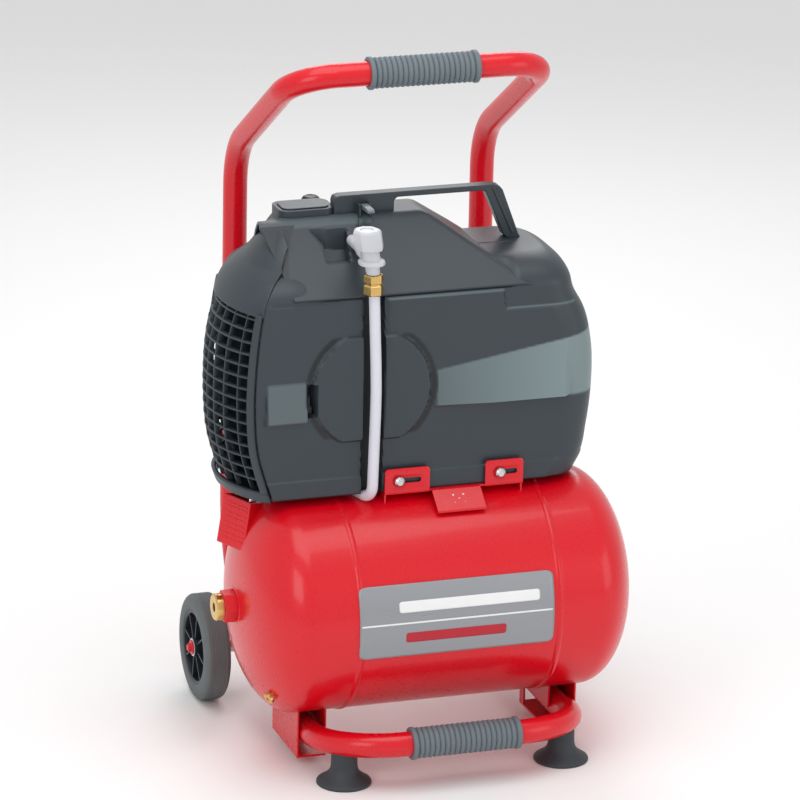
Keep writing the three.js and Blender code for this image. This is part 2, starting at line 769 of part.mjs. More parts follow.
function grooveSpace(grow) {
  const half = hood.grooveWidth / 2 + grow;
  const back = hood.frontY + hood.grooveDepth + grow;
  return box([hood.grooveX - half, hood.frontY - 20, 0], [hood.grooveX + half, back, hood.topZ + 50]);
}

const hollow = hoodBody(hood.wall).subtract(grooveSpace(hood.wall));
let shell = hoodBody(0).subtract(grooveSpace(0)).subtract(hollow);
// The pipe leaves through a notch in the bottom edge.
const notch = box(
  [hood.grooveX - 24, hood.frontY - 5, hood.bottomZ - 5],
  [hood.grooveX + 12, hood.frontY + 20, hood.bottomZ + 14],
);
shell = shell.subtract(notch).subtract(screwHole(screw.leftX)).subtract(screwHole(screw.rightX));

// The cap is all that is left of the ridge.
function capSpace(shift) {
  const line = hood.levels.map((level) => [level.ridge + shift, hood.bottomZ + level.up]);
  const top = [line.at(-1)[0] + 6, hood.topZ + 5];
  const bottom = [line[0][0], hood.bottomZ - 5];
  const outline = [[-400, bottom[1]], bottom, ...line, top, [-400, top[1]]];
  return prism(outline, "y", hood.frontY - 10, hood.rearY + 10);
}
const glandPlace = [gland.x, 0, gland.z];
const glandHole = bar("y", gland.radius + gap, hood.rearY - 20, hood.rearY + 20, glandPlace, 16);
put("hood_shell", shell.subtract(capSpace(gap)).subtract(glandHole), slatePlastic);

let cap = shell.intersect(capSpace(-gap));
for (let row = 0; row < grille.rows; row++) {
  const low = hood.bottomZ + grille.low + row * grille.rowPitch;
  for (let column = 0; column < grille.columns; column++) {
    const middle = hood.midY + (column - (grille.columns - 1) / 2) * grille.columnPitch;
    const half = (grille.columnPitch - grille.barWidth) / 2;
    const high = low + grille.rowPitch - grille.barHeight;
    const slot = box([-300, middle - half, low], [-150, middle + half, high]);
    cap = cap.subtract(slot);
  }
}
put("grille_cap", cap, slatePlastic);

function coverBody(shrink) {
  const lastLevel = cover.levels.length - 1;
  return loft(
    cover.levels.map((level, i) => {
      const z = hood.topZ + gap + level.up - (i === 0 || i === lastLevel ? shrink : 0);
      const front = hood.frontY + level.front;
      return levelOutline(z, level.ridge, level.right, front, hood.rearY - level.rear, shrink);
    }),
  );
}
const window = box(
  [cover.windowLeftX, hood.frontY, hood.topZ + cover.windowLow],
  [cover.windowRightX, hood.midY - 12, hood.topZ + cover.windowHigh],
);
const topZ = cover.topZ + gap;
const knobPlace = [knob.x, knob.y, topZ];
put(
  "top_cover",
  coverBody(0)
    .subtract(coverBody(cover.wall))
    .subtract(window)
    .subtract(bar("z", knob.radius + gap, -20, 20, knobPlace, 20)),
  slatePlastic,
);

// The lid is a flat slab with rounded corners, over the controls.
function roundedSlab(low, high, radius) {
  const points = [];
  const steps = 4;
  for (const [x, y, start] of [
    [high[0] - radius, high[1] - radius, 0],
    [low[0] + radius, high[1] - radius, 1],
    [low[0] + radius, low[1] + radius, 2],
    [high[0] - radius, low[1] + radius, 3],
  ]) {
    for (let i = 0; i <= steps; i++) {
      const angle = (Math.PI / 2) * (start + i / steps);
      points.push([x + radius * Math.cos(angle), y + radius * Math.sin(angle)]);
    }
  }
  return prism(points, "z", low[2], high[2]);
}
const lidLow = topZ + gap;
put(
  "top_lid",
  roundedSlab(
    [lid.leftX, lid.frontY, lidLow],
    [lid.rightX, lid.rearY, lidLow + lid.height],
    lid.corner,
  ).subtract(bar("z", knob.radius + lid.knobGap, -20, 40, knobPlace, 20)),
  slatePlastic,
);
// The switch knob is pressed down into the cover.
const knobOutline = [
  [-knob.depth, 0],
  [-knob.depth, knob.radius],
  [knob.height - 4, knob.radius],
  [knob.height, knob.radius * 0.7],
  [knob.height, 0],
];
put("switch_knob", turned(knobOutline, "z", knobPlace, 20), blackPlastic);

// The vent lever swings up on a post in front of the carry handle.
const leverPivotZ = lidLow + lever.postHeight;
const leverLow = leverPivotZ - lever.thickness * 0.4;
const leverGap = lever.width / 2 + gap + 0.2;
const leverOut = leverGap + lever.cheek;
const leverRoom = lever.rearLength + 2;
const leverPost = box(
  [lever.x - leverOut, lever.y - leverRoom, lidLow],
  [lever.x + leverOut, carry.y, leverPivotZ + lever.thickness],
).subtract(
  box(
    [lever.x - leverGap, lever.y - leverRoom - 1, lidLow - 1],
    [lever.x + leverGap, lever.y + leverRoom, leverPivotZ + lever.thickness + 1],
  ),
);
put(
  "vent_lever",
  box(
    [lever.x - lever.width / 2, lever.y - lever.length, leverLow],
    [lever.x + lever.width / 2, lever.y + lever.rearLength, leverLow + lever.thickness],
  ),
  whitePlastic,
);

// The carry handle is a bar over a finger gap, on a block at the left and a slanted leg at the right.
const gripLow = carry.topZ - carry.thickness;
const deckZ = hood.topZ + gap;
const handleOutline = [
  [carry.leftX, lidLow],
  [carry.blockRightX, lidLow],
  [carry.blockRightX, gripLow],
  [carry.rightX - 14, gripLow],
  [carry.footX - 16, deckZ],
  [carry.footX, deckZ],
  [carry.rightX + 4, carry.topZ - 6],
  [carry.rightX - 6, carry.topZ],
  [carry.leftX + 6, carry.topZ],
  [carry.leftX, carry.topZ - 6],
];
put(
  "carry_handle",
  prism(handleOutline, "y", carry.y - carry.depth / 2, carry.y + carry.depth / 2).add(leverPost),
  slatePlastic,
);

put(
  "cable_gland",
  bar("y", gland.radius, hood.rearY - 12, hood.rearY + 2, glandPlace, 16).add(
    bar("y", gland.nut, hood.rearY + gap, hood.rearY + gland.length, glandPlace, 6),
  ),
  blackPlastic,
);

// ---- Suction pipe: from the white connector down the groove and back into the tank ----

const inletBase = tank.axisZ + Math.sqrt(tank.radius ** 2 - inlet.y ** 2);
const inletTop = inletBase + inlet.height;
const inletSide = inlet.y - inlet.radius - gap - 1.6;
const pipeLine = new BentLine(
  [
    [pipe.x, pipe.y, pipe.topZ],
    [pipe.x, pipe.y, pipe.lowZ],
    [inlet.x + 1, inletSide, inletTop - 12],
  ],
  [pipe.bend],
);
put("pipe", bentTube(pipeLine, pipe.radius, pipe.wall), palePipe);
put(
  "tank_inlet",
  bar("z", inlet.radius, tank.axisZ, inletTop, [inlet.x, inlet.y, 0], 20).subtract(tankClear),
  brass,
);
const pipePlace = [pipe.x, pipe.y, 0];
put(
  "pipe_nut",
  bar("z", nut.radius, nut.low, nut.high, pipePlace, 6).subtract(
    bar("z", pipe.radius + gap, nut.low - 1, pipe.topZ + gap, pipePlace, 16),
  ),
  brass,
);
// The connector turns a right angle into the window of the cover.
const capBottom = connector.neckTop;
const flange = connector.flange;
const branchZ = capBottom - 1 - connector.branch;
put(
  "connector_body",
  bar("z", connector.neck, nut.high + gap, capBottom, pipePlace, 20)
    .add(bar("z", flange.radius, flange.z, flange.z + flange.thickness, pipePlace, 20))
    .add(bar("y", connector.branch, pipe.y, hood.midY - 20, [pipe.x, 0, branchZ], 16)),
  whitePlastic,
);
put(
  "connector_cap",
  bar("z", connector.capRadius, capBottom + gap, capBottom + connector.capHeight, pipePlace, 6),
  whitePlastic,
);

// ---- Motor pump under the hood ----

const onShaft = [0, shaft.y, shaft.z];
const shaftHole = shaft.radius + gap + 0.2;
put(
  "motor_housing",
  turned(
    [
      [motor.leftX, shaftHole],
      [motor.leftX, motor.radius],
      [motor.rightX, motor.radius],
      [motor.rightX, shaftHole],
      [motor.rightX - motor.wall, shaftHole],
      [motor.rightX - motor.wall, motor.radius - motor.wall],
      [motor.leftX + motor.wall, motor.radius - motor.wall],
      [motor.leftX + motor.wall, shaftHole],
      [motor.leftX, shaftHole],
    ],
    "x",
    onShaft,
    20,
  ),
  castAlloy,
);
const coreFrom = motor.midX - motor.coreHalf;
const coreTo = motor.midX + motor.coreHalf;
const statorOuter = motor.radius - motor.wall - curvedGap;
put("stator", ring("x", motor.statorBore, statorOuter, coreFrom, coreTo, onShaft, 20), copper);
put("rotor_core", ring("x", shaftHole, motor.rotor, coreFrom, coreTo, onShaft, 24), steel);
put("motor_shaft", bar("x", shaft.radius, shaft.leftX, shaft.rightX, onShaft, 16), steel);
let blower = ring("x", shaftHole, fan.hub, fan.midX - fan.length / 2, fan.midX + fan.length / 2, onShaft, 18);
for (let i = 0; i < fan.blades; i++) {
  const blade = new THREE.BoxGeometry(fan.length, fan.blade, fan.radius - fan.hub + 2)
    .rotateZ(0.5)
    .translate(fan.midX, 0, (fan.radius + fan.hub) / 2)
    .rotateX((2 * Math.PI * i) / fan.blades);
  blower = blower.add(solid(blade.translate(...onShaft)));
}
put("cooling_fan", blower, blackPlastic);

const caseLeft = motor.rightX + gap;
const caseInner = crankcase.radius - crankcase.wall;
const cylinderX = shaft.rightX + gap + crank.thickness + crank.pinLength + gap + rod.thickness / 2;
const cylinderPlace = [cylinderX, shaft.y, 0];
const cylinderBottom = shaft.z + crankcase.radius - crankcase.wall;
const cylinderBore = piston.radius + cylinder.clearance;
const cylinderOuter = cylinderBore + cylinder.wall;
put(
  "crankcase",
  turned(
    [
      [caseLeft, shaftHole],
      [caseLeft, crankcase.radius],
      [crankcase.rightX, crankcase.radius],
      [crankcase.rightX, caseInner],
      [caseLeft + crankcase.wall, caseInner],
      [caseLeft + crankcase.wall, shaftHole],
      [caseLeft, shaftHole],
    ],
    "x",
    onShaft,
    20,
  ).subtract(bar("z", cylinderOuter + gap, shaft.z + 30, shaft.z + 80, cylinderPlace, 24)),
  castAlloy,
);
const coverFrom = crankcase.rightX + gap;
put(
  "crankcase_cover",
  bar("x", crankcase.radius, coverFrom, coverFrom + crankcase.cover, onShaft, 20),
  castAlloy,
);
const discFrom = shaft.rightX + gap;
const discTo = discFrom + crank.thickness;
put(
  "crank_disc",
  bar("x", crank.radius, discFrom, discTo, onShaft, 24).add(
    bar("x", crank.pin, discTo - 1, discTo + crank.pinLength, [0, shaft.y, shaft.z + crank.throw], 12),
  ),
  steel,
);
// The rod and piston stand at the top of their stroke.
const rodFrom = discTo + crank.pinLength + gap;
const rodTo = rodFrom + rod.thickness;
const bigEndZ = shaft.z + crank.throw;
const smallEndZ = bigEndZ + rod.length;
const rodAt = (z) => [0, shaft.y, z];
put(
  "connecting_rod",
  bar("x", rod.eye, rodFrom, rodTo, rodAt(bigEndZ), 20)
    .add(box([rodFrom, shaft.y - rod.width / 2, bigEndZ], [rodTo, shaft.y + rod.width / 2, smallEndZ]))
    .add(bar("x", rod.smallEye, rodFrom, rodTo, rodAt(smallEndZ), 16))
    .subtract(bar("x", rod.bore, rodFrom - 1, rodTo + 1, rodAt(bigEndZ), 16)),
  castAlloy,
);
const pistonTop = smallEndZ + piston.height / 2 + piston.crown;
const pistonBottom = pistonTop - piston.crown - piston.height;
put(
  "piston",
  bar("z", piston.radius, pistonBottom, pistonTop, cylinderPlace, 20).subtract(
    box(
      [rodFrom - gap, shaft.y - rod.smallEye - 1, pistonBottom - 1],
      [rodTo + gap, shaft.y + rod.smallEye + 1, pistonTop - piston.crown],
    ),
  ),
  steel,
);
const cylinderTop = pistonTop + cylinder.over;
put(
  "cylinder",
  ring("z", cylinderBore, cylinderOuter, cylinderBottom, cylinderTop, cylinderPlace, 20),
  castAlloy,
);
const headHalf = cylinder.headWidth / 2;
put(
  "cylinder_head",
  box(
    [cylinderX - headHalf, shaft.y - headHalf, cylinderTop + gap],
    [cylinderX + headHalf, shaft.y + headHalf, cylinderTop + cylinder.headHeight],
  ),
  castAlloy,
);

// The pump stands on a base with two cradles, and the base on four rubber mounts.
const baseTop = base.z + base.sheet;
const cradleSplit = motor.rightX + 1;
const cradle = (from, to) => box([from, base.frontY, base.z], [to, base.rearY, shaft.z]);
put(
  "pump_base",
  box([base.leftX, base.frontY, base.z], [base.rightX, base.rearY, baseTop])
    .add(cradle(motor.rightX - base.cradleInset - base.cradle, motor.rightX - base.cradleInset))
    .add(cradle(crankcase.rightX - base.cradleInset - base.cradle, crankcase.rightX - base.cradleInset))
    .subtract(bar("x", motor.radius + curvedGap, base.leftX - 1, cradleSplit, onShaft, 20))
    .subtract(bar("x", crankcase.radius + curvedGap, cradleSplit, base.rightX + 1, onShaft, 20)),
  steel,
);
const mountPlaces = [
  [base.leftX, base.frontY, 1, 1],
  [base.rightX, base.frontY, -1, 1],
  [base.leftX, base.rearY, 1, -1],
  [base.rightX, base.rearY, -1, -1],
];
mountPlaces.forEach(([x, y, inX, inY], i) => {
  const place = [x + inX * (mount.radius + mount.inset), y + inY * (mount.radius + mount.inset), 0];
  put("rubber_mount_" + (i + 1), bar("z", mount.radius, plate.topZ + gap, base.z - gap, place, 16), darkRubber);
});
put(
  "vacuum_switch",
  box(
    [vacuumSwitch.leftX, vacuumSwitch.frontY, plate.topZ + gap],
    [vacuumSwitch.rightX, vacuumSwitch.rearY, plate.topZ + gap + vacuumSwitch.height],
  ),
  blackPlastic,
);

// The origin is on the floor, under the middle of the whole.
const whole = new THREE.Box3().setFromObject(rig);
rig.position.set(-(whole.min.x + whole.max.x) / 2, -(whole.min.y + whole.max.y) / 2, -whole.min.z);

export default rig;
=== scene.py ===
import math

import bmesh
import bpy
import mathutils
import numpy as np
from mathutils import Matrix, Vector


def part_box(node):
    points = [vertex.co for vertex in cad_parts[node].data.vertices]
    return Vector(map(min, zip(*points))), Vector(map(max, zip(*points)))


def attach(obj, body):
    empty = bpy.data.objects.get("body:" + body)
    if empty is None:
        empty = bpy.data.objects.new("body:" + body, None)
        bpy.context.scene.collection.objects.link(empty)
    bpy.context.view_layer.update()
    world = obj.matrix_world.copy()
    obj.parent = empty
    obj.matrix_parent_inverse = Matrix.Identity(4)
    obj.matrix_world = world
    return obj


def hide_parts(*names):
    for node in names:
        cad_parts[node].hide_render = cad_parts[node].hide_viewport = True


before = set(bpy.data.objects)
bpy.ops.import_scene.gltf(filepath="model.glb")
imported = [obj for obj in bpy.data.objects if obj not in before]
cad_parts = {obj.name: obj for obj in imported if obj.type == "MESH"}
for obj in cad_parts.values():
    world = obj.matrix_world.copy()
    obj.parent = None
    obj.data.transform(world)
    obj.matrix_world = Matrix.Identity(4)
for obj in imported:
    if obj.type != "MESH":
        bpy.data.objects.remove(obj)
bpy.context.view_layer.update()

# A portable vacuum pump. Sizes are millimetres from the middle of the tank, on the floor, with
# X along the tank, -Y to the front and Z up; piece() moves them into the frame and to metres.

# ---- Tank ----
# A rolled steel shell with a deep pressed end welded on at each side, sprayed gloss red.

shell_low, shell_high = (np.array(corner) * 1000 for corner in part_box("tank_shell"))
ORIGIN = np.array([(shell_low[0] + shell_high[0]) / 2, (shell_low[1] + shell_high[1]) / 2, 0.0])
TANK_Z = (shell_low[2] + shell_high[2]) / 2
TANK_R = (shell_high[2] - shell_low[2]) / 2
TANK_TIP = 228.6
DOME = 60.0
SEAM_X = 117.0


def pattern(nodes, links, kind, vector, **settings):
    """A texture node that reads a vector, with its sockets set by name."""
    node = nodes.new(kind)
    links.new(vector, node.inputs["Vector"])
    for socket, value in settings.items():
        node.inputs[socket.replace("_", " ")].default_value = value
    return node


def finish(name, colour, rough, metal=0.0, coat=0.0, mottle=0.12, patch=9.0, grain=500.0,
           depth=0.03, swing=0.08, stretch=(1, 1, 1), dust=None, specular=0.5):
    """Base colour wanders between a darker and a lighter tone with a broad noise; roughness
    swings with a finer one; a grain noise lifts the surface by depth millimetres."""
    material = bpy.data.materials.new(name)
    material.use_nodes = True
    nodes, links = material.node_tree.nodes, material.node_tree.links
    shader = nodes["Principled BSDF"]
    shader.inputs["Metallic"].default_value = metal
    shader.inputs["Coat Weight"].default_value = coat
    shader.inputs["Coat Roughness"].default_value = 0.06
    shader.inputs["Specular IOR Level"].default_value = specular
    place = nodes.new("ShaderNodeTexCoord").outputs["Object"]
    mapping = nodes.new("ShaderNodeMapping")
    links.new(place, mapping.inputs["Vector"])
    mapping.inputs["Scale"].default_value = stretch
    vector = mapping.outputs["Vector"]
    broad = pattern(nodes, links, "ShaderNodeTexNoise", vector, Scale=patch, Detail=5.0, Roughness=0.6)
    fine = pattern(nodes, links, "ShaderNodeTexNoise", vector, Scale=grain, Detail=3.0, Roughness=0.55)
    tone = nodes.new("ShaderNodeMix")
    tone.data_type = "RGBA"
    links.new(broad.outputs["Fac"], tone.inputs["Factor"])
    tone.inputs["A"].default_value = [*(c * (1 - mottle) for c in colour), 1]
    tone.inputs["B"].default_value = [*(min(1, c * (1 + mottle)) for c in (dust or colour)), 1]
    links.new(tone.outputs["Result"], shader.inputs["Base Color"])
    blend = nodes.new("ShaderNodeMath")
    blend.operation = "ADD"
    links.new(broad.outputs["Fac"], blend.inputs[0])
    links.new(fine.outputs["Fac"], blend.inputs[1])
    spread = nodes.new("ShaderNodeMapRange")
    links.new(blend.outputs["Value"], spread.inputs["Value"])
    spread.inputs["From Min"].default_value = 0.6
    spread.inputs["From Max"].default_value = 1.4
    spread.inputs["To Min"].default_value = max(0.02, rough - swing)
    spread.inputs["To Max"].default_value = min(1, rough + swing)
    links.new(spread.outputs["Result"], shader.inputs["Roughness"])
    bump = nodes.new("ShaderNodeBump")
    bump.inputs["Distance"].default_value = depth / 1000
    links.new(fine.outputs["Fac"], bump.inputs["Height"])
    links.new(bump.outputs["Normal"], shader.inputs["Normal"])
    return material


red_gloss = finish("red gloss paint", (0.66, 0.001, 0.010), 0.29, coat=0.25, mottle=0.05, patch=5, grain=170,
                   depth=0.02, swing=0.05, specular=0.4)


def skin(sections, closed=True, capped=True):
    """Sections of the same number of points, joined one to the next by quads. Each section is
    a loop if closed, and the first and last are filled with one face if capped."""
    sections = np.asarray(sections, float)
    count, around = sections.shape[:2]
    wrap = around if closed else around - 1
    row, col = np.meshgrid(np.arange(count - 1), np.arange(wrap), indexing="ij")
    nxt = (col + 1) % around
    quads = np.stack([row * around + col, row * around + nxt, (row + 1) * around + nxt,
                      (row + 1) * around + col], -1)
    faces = quads.reshape(-1, 4).tolist()
    if capped:
        faces += [list(range(around))[::-1], list(range((count - 1) * around, count * around))]
    return sections.reshape(-1, 3), faces


def turned(profile, axis, place, sides=96, loop=False):
    """A profile of [along, radius] points turned about an axis through a place. A loop profile
    is joined back to its first point; otherwise its ends are filled."""
    profile = np.asarray(profile, float)
    if loop:
        profile = np.vstack([profile, profile[:1]])
    angle = np.linspace(0, 2 * np.pi, sides, endpoint=False)
    along = np.repeat(profile[:, :1], sides, 1)
    first, second = profile[:, 1:] * np.cos(angle), profile[:, 1:] * np.sin(angle)
    order = {"x": (along, first, second), "y": (second, along, first), "z": (first, second, along)}[axis]
    return skin(np.stack(order, -1) + np.asarray(place, float), capped=not loop)


def piece(name, parts, material, body="frame", stands_for=(), bevel=0.0, wall=0.0, sharp=38,
          mend=True):
    """One mesh from several (points, faces) parts in millimetres, with its normals outward,
    smooth but for edges over the sharp angle, and a rounded edge or a wall if asked."""
    points, faces, start = [], [], 0
    for part_points, part_faces in parts:
        points.append(part_points)
        faces += [[corner + start for corner in face] for face in part_faces]
        start += len(part_points)
    mesh = bpy.data.meshes.new(name)
    mesh.from_pydata(((np.vstack(points) + ORIGIN) / 1000).tolist(), [], faces)
    work = bmesh.new()
    work.from_mesh(mesh)
    bmesh.ops.remove_doubles(work, verts=work.verts, dist=2e-6)
    if mend:
        bmesh.ops.recalc_face_normals(work, faces=work.faces)
    work.to_mesh(mesh)
    work.free()
    mesh.shade_smooth()
    mesh.materials.append(material)
    obj = bpy.data.objects.new(name, mesh)
    bpy.context.scene.collection.objects.link(obj)
    if wall:
        thick = obj.modifiers.new("wall", "SOLIDIFY")
        thick.thickness = wall / 1000
        thick.offset = -1
    if bevel:
        edge = obj.modifiers.new("edge", "BEVEL")
        edge.width = bevel / 1000
        edge.segments = 3
        edge.limit_method = "ANGLE"
        edge.angle_limit = math.radians(28)
        edge.harden_normals = True
    else:
        mesh.set_sharp_from_angle(angle=math.radians(sharp))
    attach(obj, body)
    if stands_for:
        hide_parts(*stands_for)
    return obj


def fillet(x, middle, half, height):
    """A smooth bead: height at the middle, falling to nothing at half a width away."""
    return height * np.clip(1 - ((x - middle) / half) ** 2, 0, 1) ** 0.5


dome_start = TANK_TIP - DOME
along = np.concatenate([np.linspace(-SEAM_X - 9, SEAM_X + 9, 261), np.linspace(SEAM_X + 9.5, dome_start, 24)])
along = np.concatenate([-along[:260:-1][:24], along])
radius = np.full(along.shape, TANK_R - 0.6)
radius += fillet(along, SEAM_X, 3.2, 1.5) + fillet(along, -SEAM_X, 3.2, 1.5)
rise = np.linspace(0, np.pi / 2, 48)[1:-1]
right_end = np.stack([dome_start + DOME * np.sin(rise), (TANK_R - 0.6) * np.cos(rise) ** 0.92], -1)
middle = np.stack([along, radius], -1)
tank_line = np.vstack([right_end[::-1] * [-1, 1], middle, right_end])
tank_line = tank_line[tank_line[:, 1] > 4]
piece("tank", [turned(tank_line, "x", (0, 0, TANK_Z), 160)], red_gloss,
      stands_for=["tank_shell", "tank_head_left", "tank_head_right"])


# ---- Ports and drain ----
# A welded boss with a brass hexagon plug on the left end, a small steel plug on the right, and
# a brass drain screw low on the left end.

brass_bright = finish("turned brass", (0.72, 0.48, 0.17), 0.26, metal=1.0, mottle=0.12, patch=60, grain=1500,
                      depth=0.01)
zinc = finish("zinc plated steel", (0.62, 0.62, 0.63), 0.3, metal=1.0, mottle=0.1, patch=70, grain=1800,
              depth=0.01)

BOSS_END = -TANK_TIP - 14
boss = [(BOSS_END + 25, 19), (-TANK_TIP - 3, 19), (BOSS_END + 1, 18.6), (BOSS_END, 17.6), (BOSS_END, 12.6),
        (BOSS_END + 25, 12.6)]
weld_angle = np.linspace(0, 2 * np.pi, 24, endpoint=False)
weld = np.stack([-TANK_TIP + 3.4 + 3.6 * np.cos(weld_angle), 19.5 + 3.6 * np.sin(weld_angle)], -1)
piece("port_boss", [turned(boss, "x", (0, 0, TANK_Z), 6, loop=True),
                    turned(weld, "x", (0, 0, TANK_Z), 64, loop=True)], red_gloss,
      stands_for=["tank_boss"], sharp=25)
plug = [(BOSS_END + 18, 0.5), (BOSS_END + 18, 11.5), (BOSS_END - 0.4, 11.8), (BOSS_END - 0.4, 15.2),
        (BOSS_END - 2, 15.5), (BOSS_END - 8, 15.5), (BOSS_END - 9.5, 14.2), (BOSS_END - 9.5, 6.2),
        (BOSS_END - 8.8, 5.2), (BOSS_END - 2, 5), (BOSS_END - 2, 0.5)]
piece("port_plug", [turned(plug, "x", (0, 0, TANK_Z), 64)], brass_bright,
      stands_for=["brass_plug"], sharp=30)
tip = TANK_TIP - 1.2
cap_plug = [(tip - 8, 0.5), (tip - 8, 10), (tip - 0.5, 12.4), (tip + 4, 12.2), (tip + 5.4, 10.6),
            (tip + 5.4, 4), (tip + 2.5, 3.6), (tip + 2.5, 0.5)]
piece("right_plug", [turned(cap_plug, "x", (0, 0, TANK_Z), 6)], zinc, stands_for=["end_plug"],
      bevel=0.6)
drain_low, drain_high = (np.array(corner) * 1000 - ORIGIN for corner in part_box("drain_screw"))
drain_mid = (drain_low + drain_high) / 2 + [-1.5, -1, -1.5]
drain_axis = np.array([drain_mid[0] + dome_start, drain_mid[1] * (DOME / TANK_R) ** 2,
                       (drain_mid[2] - TANK_Z) * (DOME / TANK_R) ** 2])
drain_axis /= np.linalg.norm(drain_axis)


def aimed(part, axis, place):
    """A part made along Z, turned so that Z lies on the axis and carried to the place."""
    points, faces = part
    side = np.cross(axis, [0, 0, 1.0])
    side /= np.linalg.norm(side)
    return points @ np.array([side, np.cross(axis, side), axis]) + place, faces


drain_line = [(-8, 0.4), (-8, 5), (1, 5), (1, 6.6), (1.6, 7), (4.2, 7), (4.8, 6.4), (4.8, 2.2), (3, 2),
              (3, 0.4)]
piece("drain", [aimed(turned(drain_line, "z", (0, 0, 0), 40), drain_axis, drain_mid)], brass_bright,
      stands_for=["drain_screw"], sharp=30)


# ---- Name label ----
# A grey printed plate bent round the tank's front, with a white rule and two bars on it.

label_film = finish("satin label film", (0.29, 0.30, 0.32), 0.33, metal=0.2, mottle=0.06, patch=30,
                    grain=1400, depth=0.006, stretch=(0.1, 1, 1))
print_white = finish("white print", (0.8, 0.8, 0.8), 0.4, mottle=0.03, patch=50, grain=1500, depth=0.004)
print_red = finish("red print", (0.45, 0.006, 0.02), 0.4, mottle=0.05, patch=50, grain=1500, depth=0.004)


def on_tank(x_low, x_high, low, high, lift, round_mm, rows=40, columns=60):
    """A patch of the tank's side between two places along it and two angles up from straight
    ahead, with quarter-round corners: each row is shortened by the corner circle's sagitta."""
    angle = np.radians(np.linspace(low, high, rows))
    edge = np.minimum(angle - angle[0], angle[-1] - angle) * (TANK_R + lift)
    short = round_mm - np.sqrt(np.clip(round_mm ** 2 - np.clip(round_mm - edge, 0, None) ** 2, 0, None))
    share = np.linspace(0, 1, columns)
    x = (x_low + short)[:, None] * (1 - share) + (x_high - short)[:, None] * share
    reach = (TANK_R + lift) * np.ones_like(x)
    return skin(np.stack([x, -reach * np.cos(angle)[:, None], TANK_Z + reach * np.sin(angle)[:, None]], -1),
                closed=False, capped=False)


piece("label", [on_tank(-120, 109, -14, 24, 1.0, 7)], label_film, stands_for=["tank_label"],
      wall=1.1, mend=False)
piece("label_rule", [on_tank(-118, 107, 3.6, 4.5, 1.25, 0.5, 4), on_tank(-74, 92, 9.5, 15.2, 1.25, 2.5, 10)],
      print_white, wall=0.15, mend=False)
piece("label_bar", [on_tank(-66, 52, -6.2, -1.0, 1.25, 2.5, 10)], print_red, wall=0.15,
      mend=False)


# ---- Data plate ----
# A red painted plate with folded edges, spot welded to the left end, with stamped fields.

def turn_z(points, degrees):
    """Points turned about Z."""
    c, s = math.cos(math.radians(degrees)), math.sin(math.radians(degrees))
    return points @ np.array([[c, s, 0], [-s, c, 0], [0, 0, 1]])


def block(low, high):
    """A box between two corners."""
    low, high = np.array(low, float), np.array(high, float)
    pick = np.array([[0, 0], [1, 0], [1, 1], [0, 1]])
    ring = low[:2] + (high - low)[:2] * pick
    return skin([np.column_stack([ring, np.full(4, z)]) for z in (low[2], high[2])])


def tilted(parts, yaw, tilt, place):
    """Parts leaned over about Y, turned about Z and carried to a place."""
    c, s = math.cos(math.radians(tilt)), math.sin(math.radians(tilt))
    lean = np.array([[c, 0, -s], [0, 1, 0], [s, 0, c]])
    return [(turn_z(points @ lean, yaw) + place, faces) for points, faces in parts]


SHEET_LEAN = (24, 11)  # degrees about Z, then off upright
plate_place = (5.6 - TANK_TIP, 20, TANK_Z + 0.72 * TANK_R)
plate_parts = [block((-1, -23, -28), (1, 23, 28)), block((0, 21, -28), (38, 23, 28)),
               block((0, -23, -28), (38, -21, 28))]
piece("data_plate", tilted(plate_parts, *SHEET_LEAN, plate_place), red_gloss,
      stands_for=["side_plate"], bevel=0.7)
field_z = (-20, -15, -8, -3, 4, 9, 16, 20)
fields = [block((-1.5, y, z), (-0.9, y + 10, z + 1.4)) for y in (-19, -6, 7) for z in field_z]
piece("plate_fields", tilted(fields, *SHEET_LEAN, plate_place), red_gloss)


# ---- Frame tubes ----
# A rear tube that is also the handle, and a front rail, of bent steel tube in the same red.

TUBE_R = 14.0
LEG_X, LEG_Y, RAIL_Z = 150.0, 272.0, 37.5
KNEE_Z = 638  # where the legs turn forward
TOP_Y, TOP_Z = 53, 777.5  # the top bar
RISE_Y, BAR_Y, BAR_Z = -40, -143, 53.5  # where the front rail starts to rise, and its bar


def bent(corners, bends, step=4.0):
    """Stations along straight runs with round bends at the corners: (points, directions)."""
    corners = np.asarray(corners, float)
    heading = np.diff(corners, axis=0)
    heading /= np.linalg.norm(heading, axis=1)[:, None]
    points, directions = [corners[:1]], [heading[:1]]
    for corner, before, after, bend in zip(corners[1:-1], heading[:-1], heading[1:], bends):
        angle = math.acos(float(before @ after))
        inward = (after - before * (before @ after)) / math.sin(angle)
        turn = np.linspace(0, angle, max(3, int(math.degrees(angle) / step)))[:, None]
        start = corner - before * bend * math.tan(angle / 2)
        points.append(start + bend * (np.sin(turn) * before + (1 - np.cos(turn)) * inward))
        directions.append(np.cos(turn) * before + np.sin(turn) * inward)
    return np.vstack([*points, corners[-1:]]), np.vstack([*directions, heading[-1:]])


def swept(line, radius, side, sides=36, wall=0.0):
    """A round tube along stations. side is a direction that the path never takes. With a wall
    the section runs up the bore as well, so the ends show the wall's thickness."""
    points, directions = line
    across = np.cross(directions, side)
    across /= np.linalg.norm(across, axis=1)[:, None]
    other = np.cross(directions, across)
    angle = np.linspace(0, 2 * np.pi, sides, endpoint=False)
    ring = np.cos(angle)[None, :, None] * across[:, None] + np.sin(angle)[None, :, None] * other[:, None]
    outer = points[:, None] + radius * ring
    if not wall:
        return skin(outer)
    inner = points[:, None] + (radius - wall) * ring
    return skin(np.concatenate([outer, inner[::-1], outer[:1]]), capped=False)


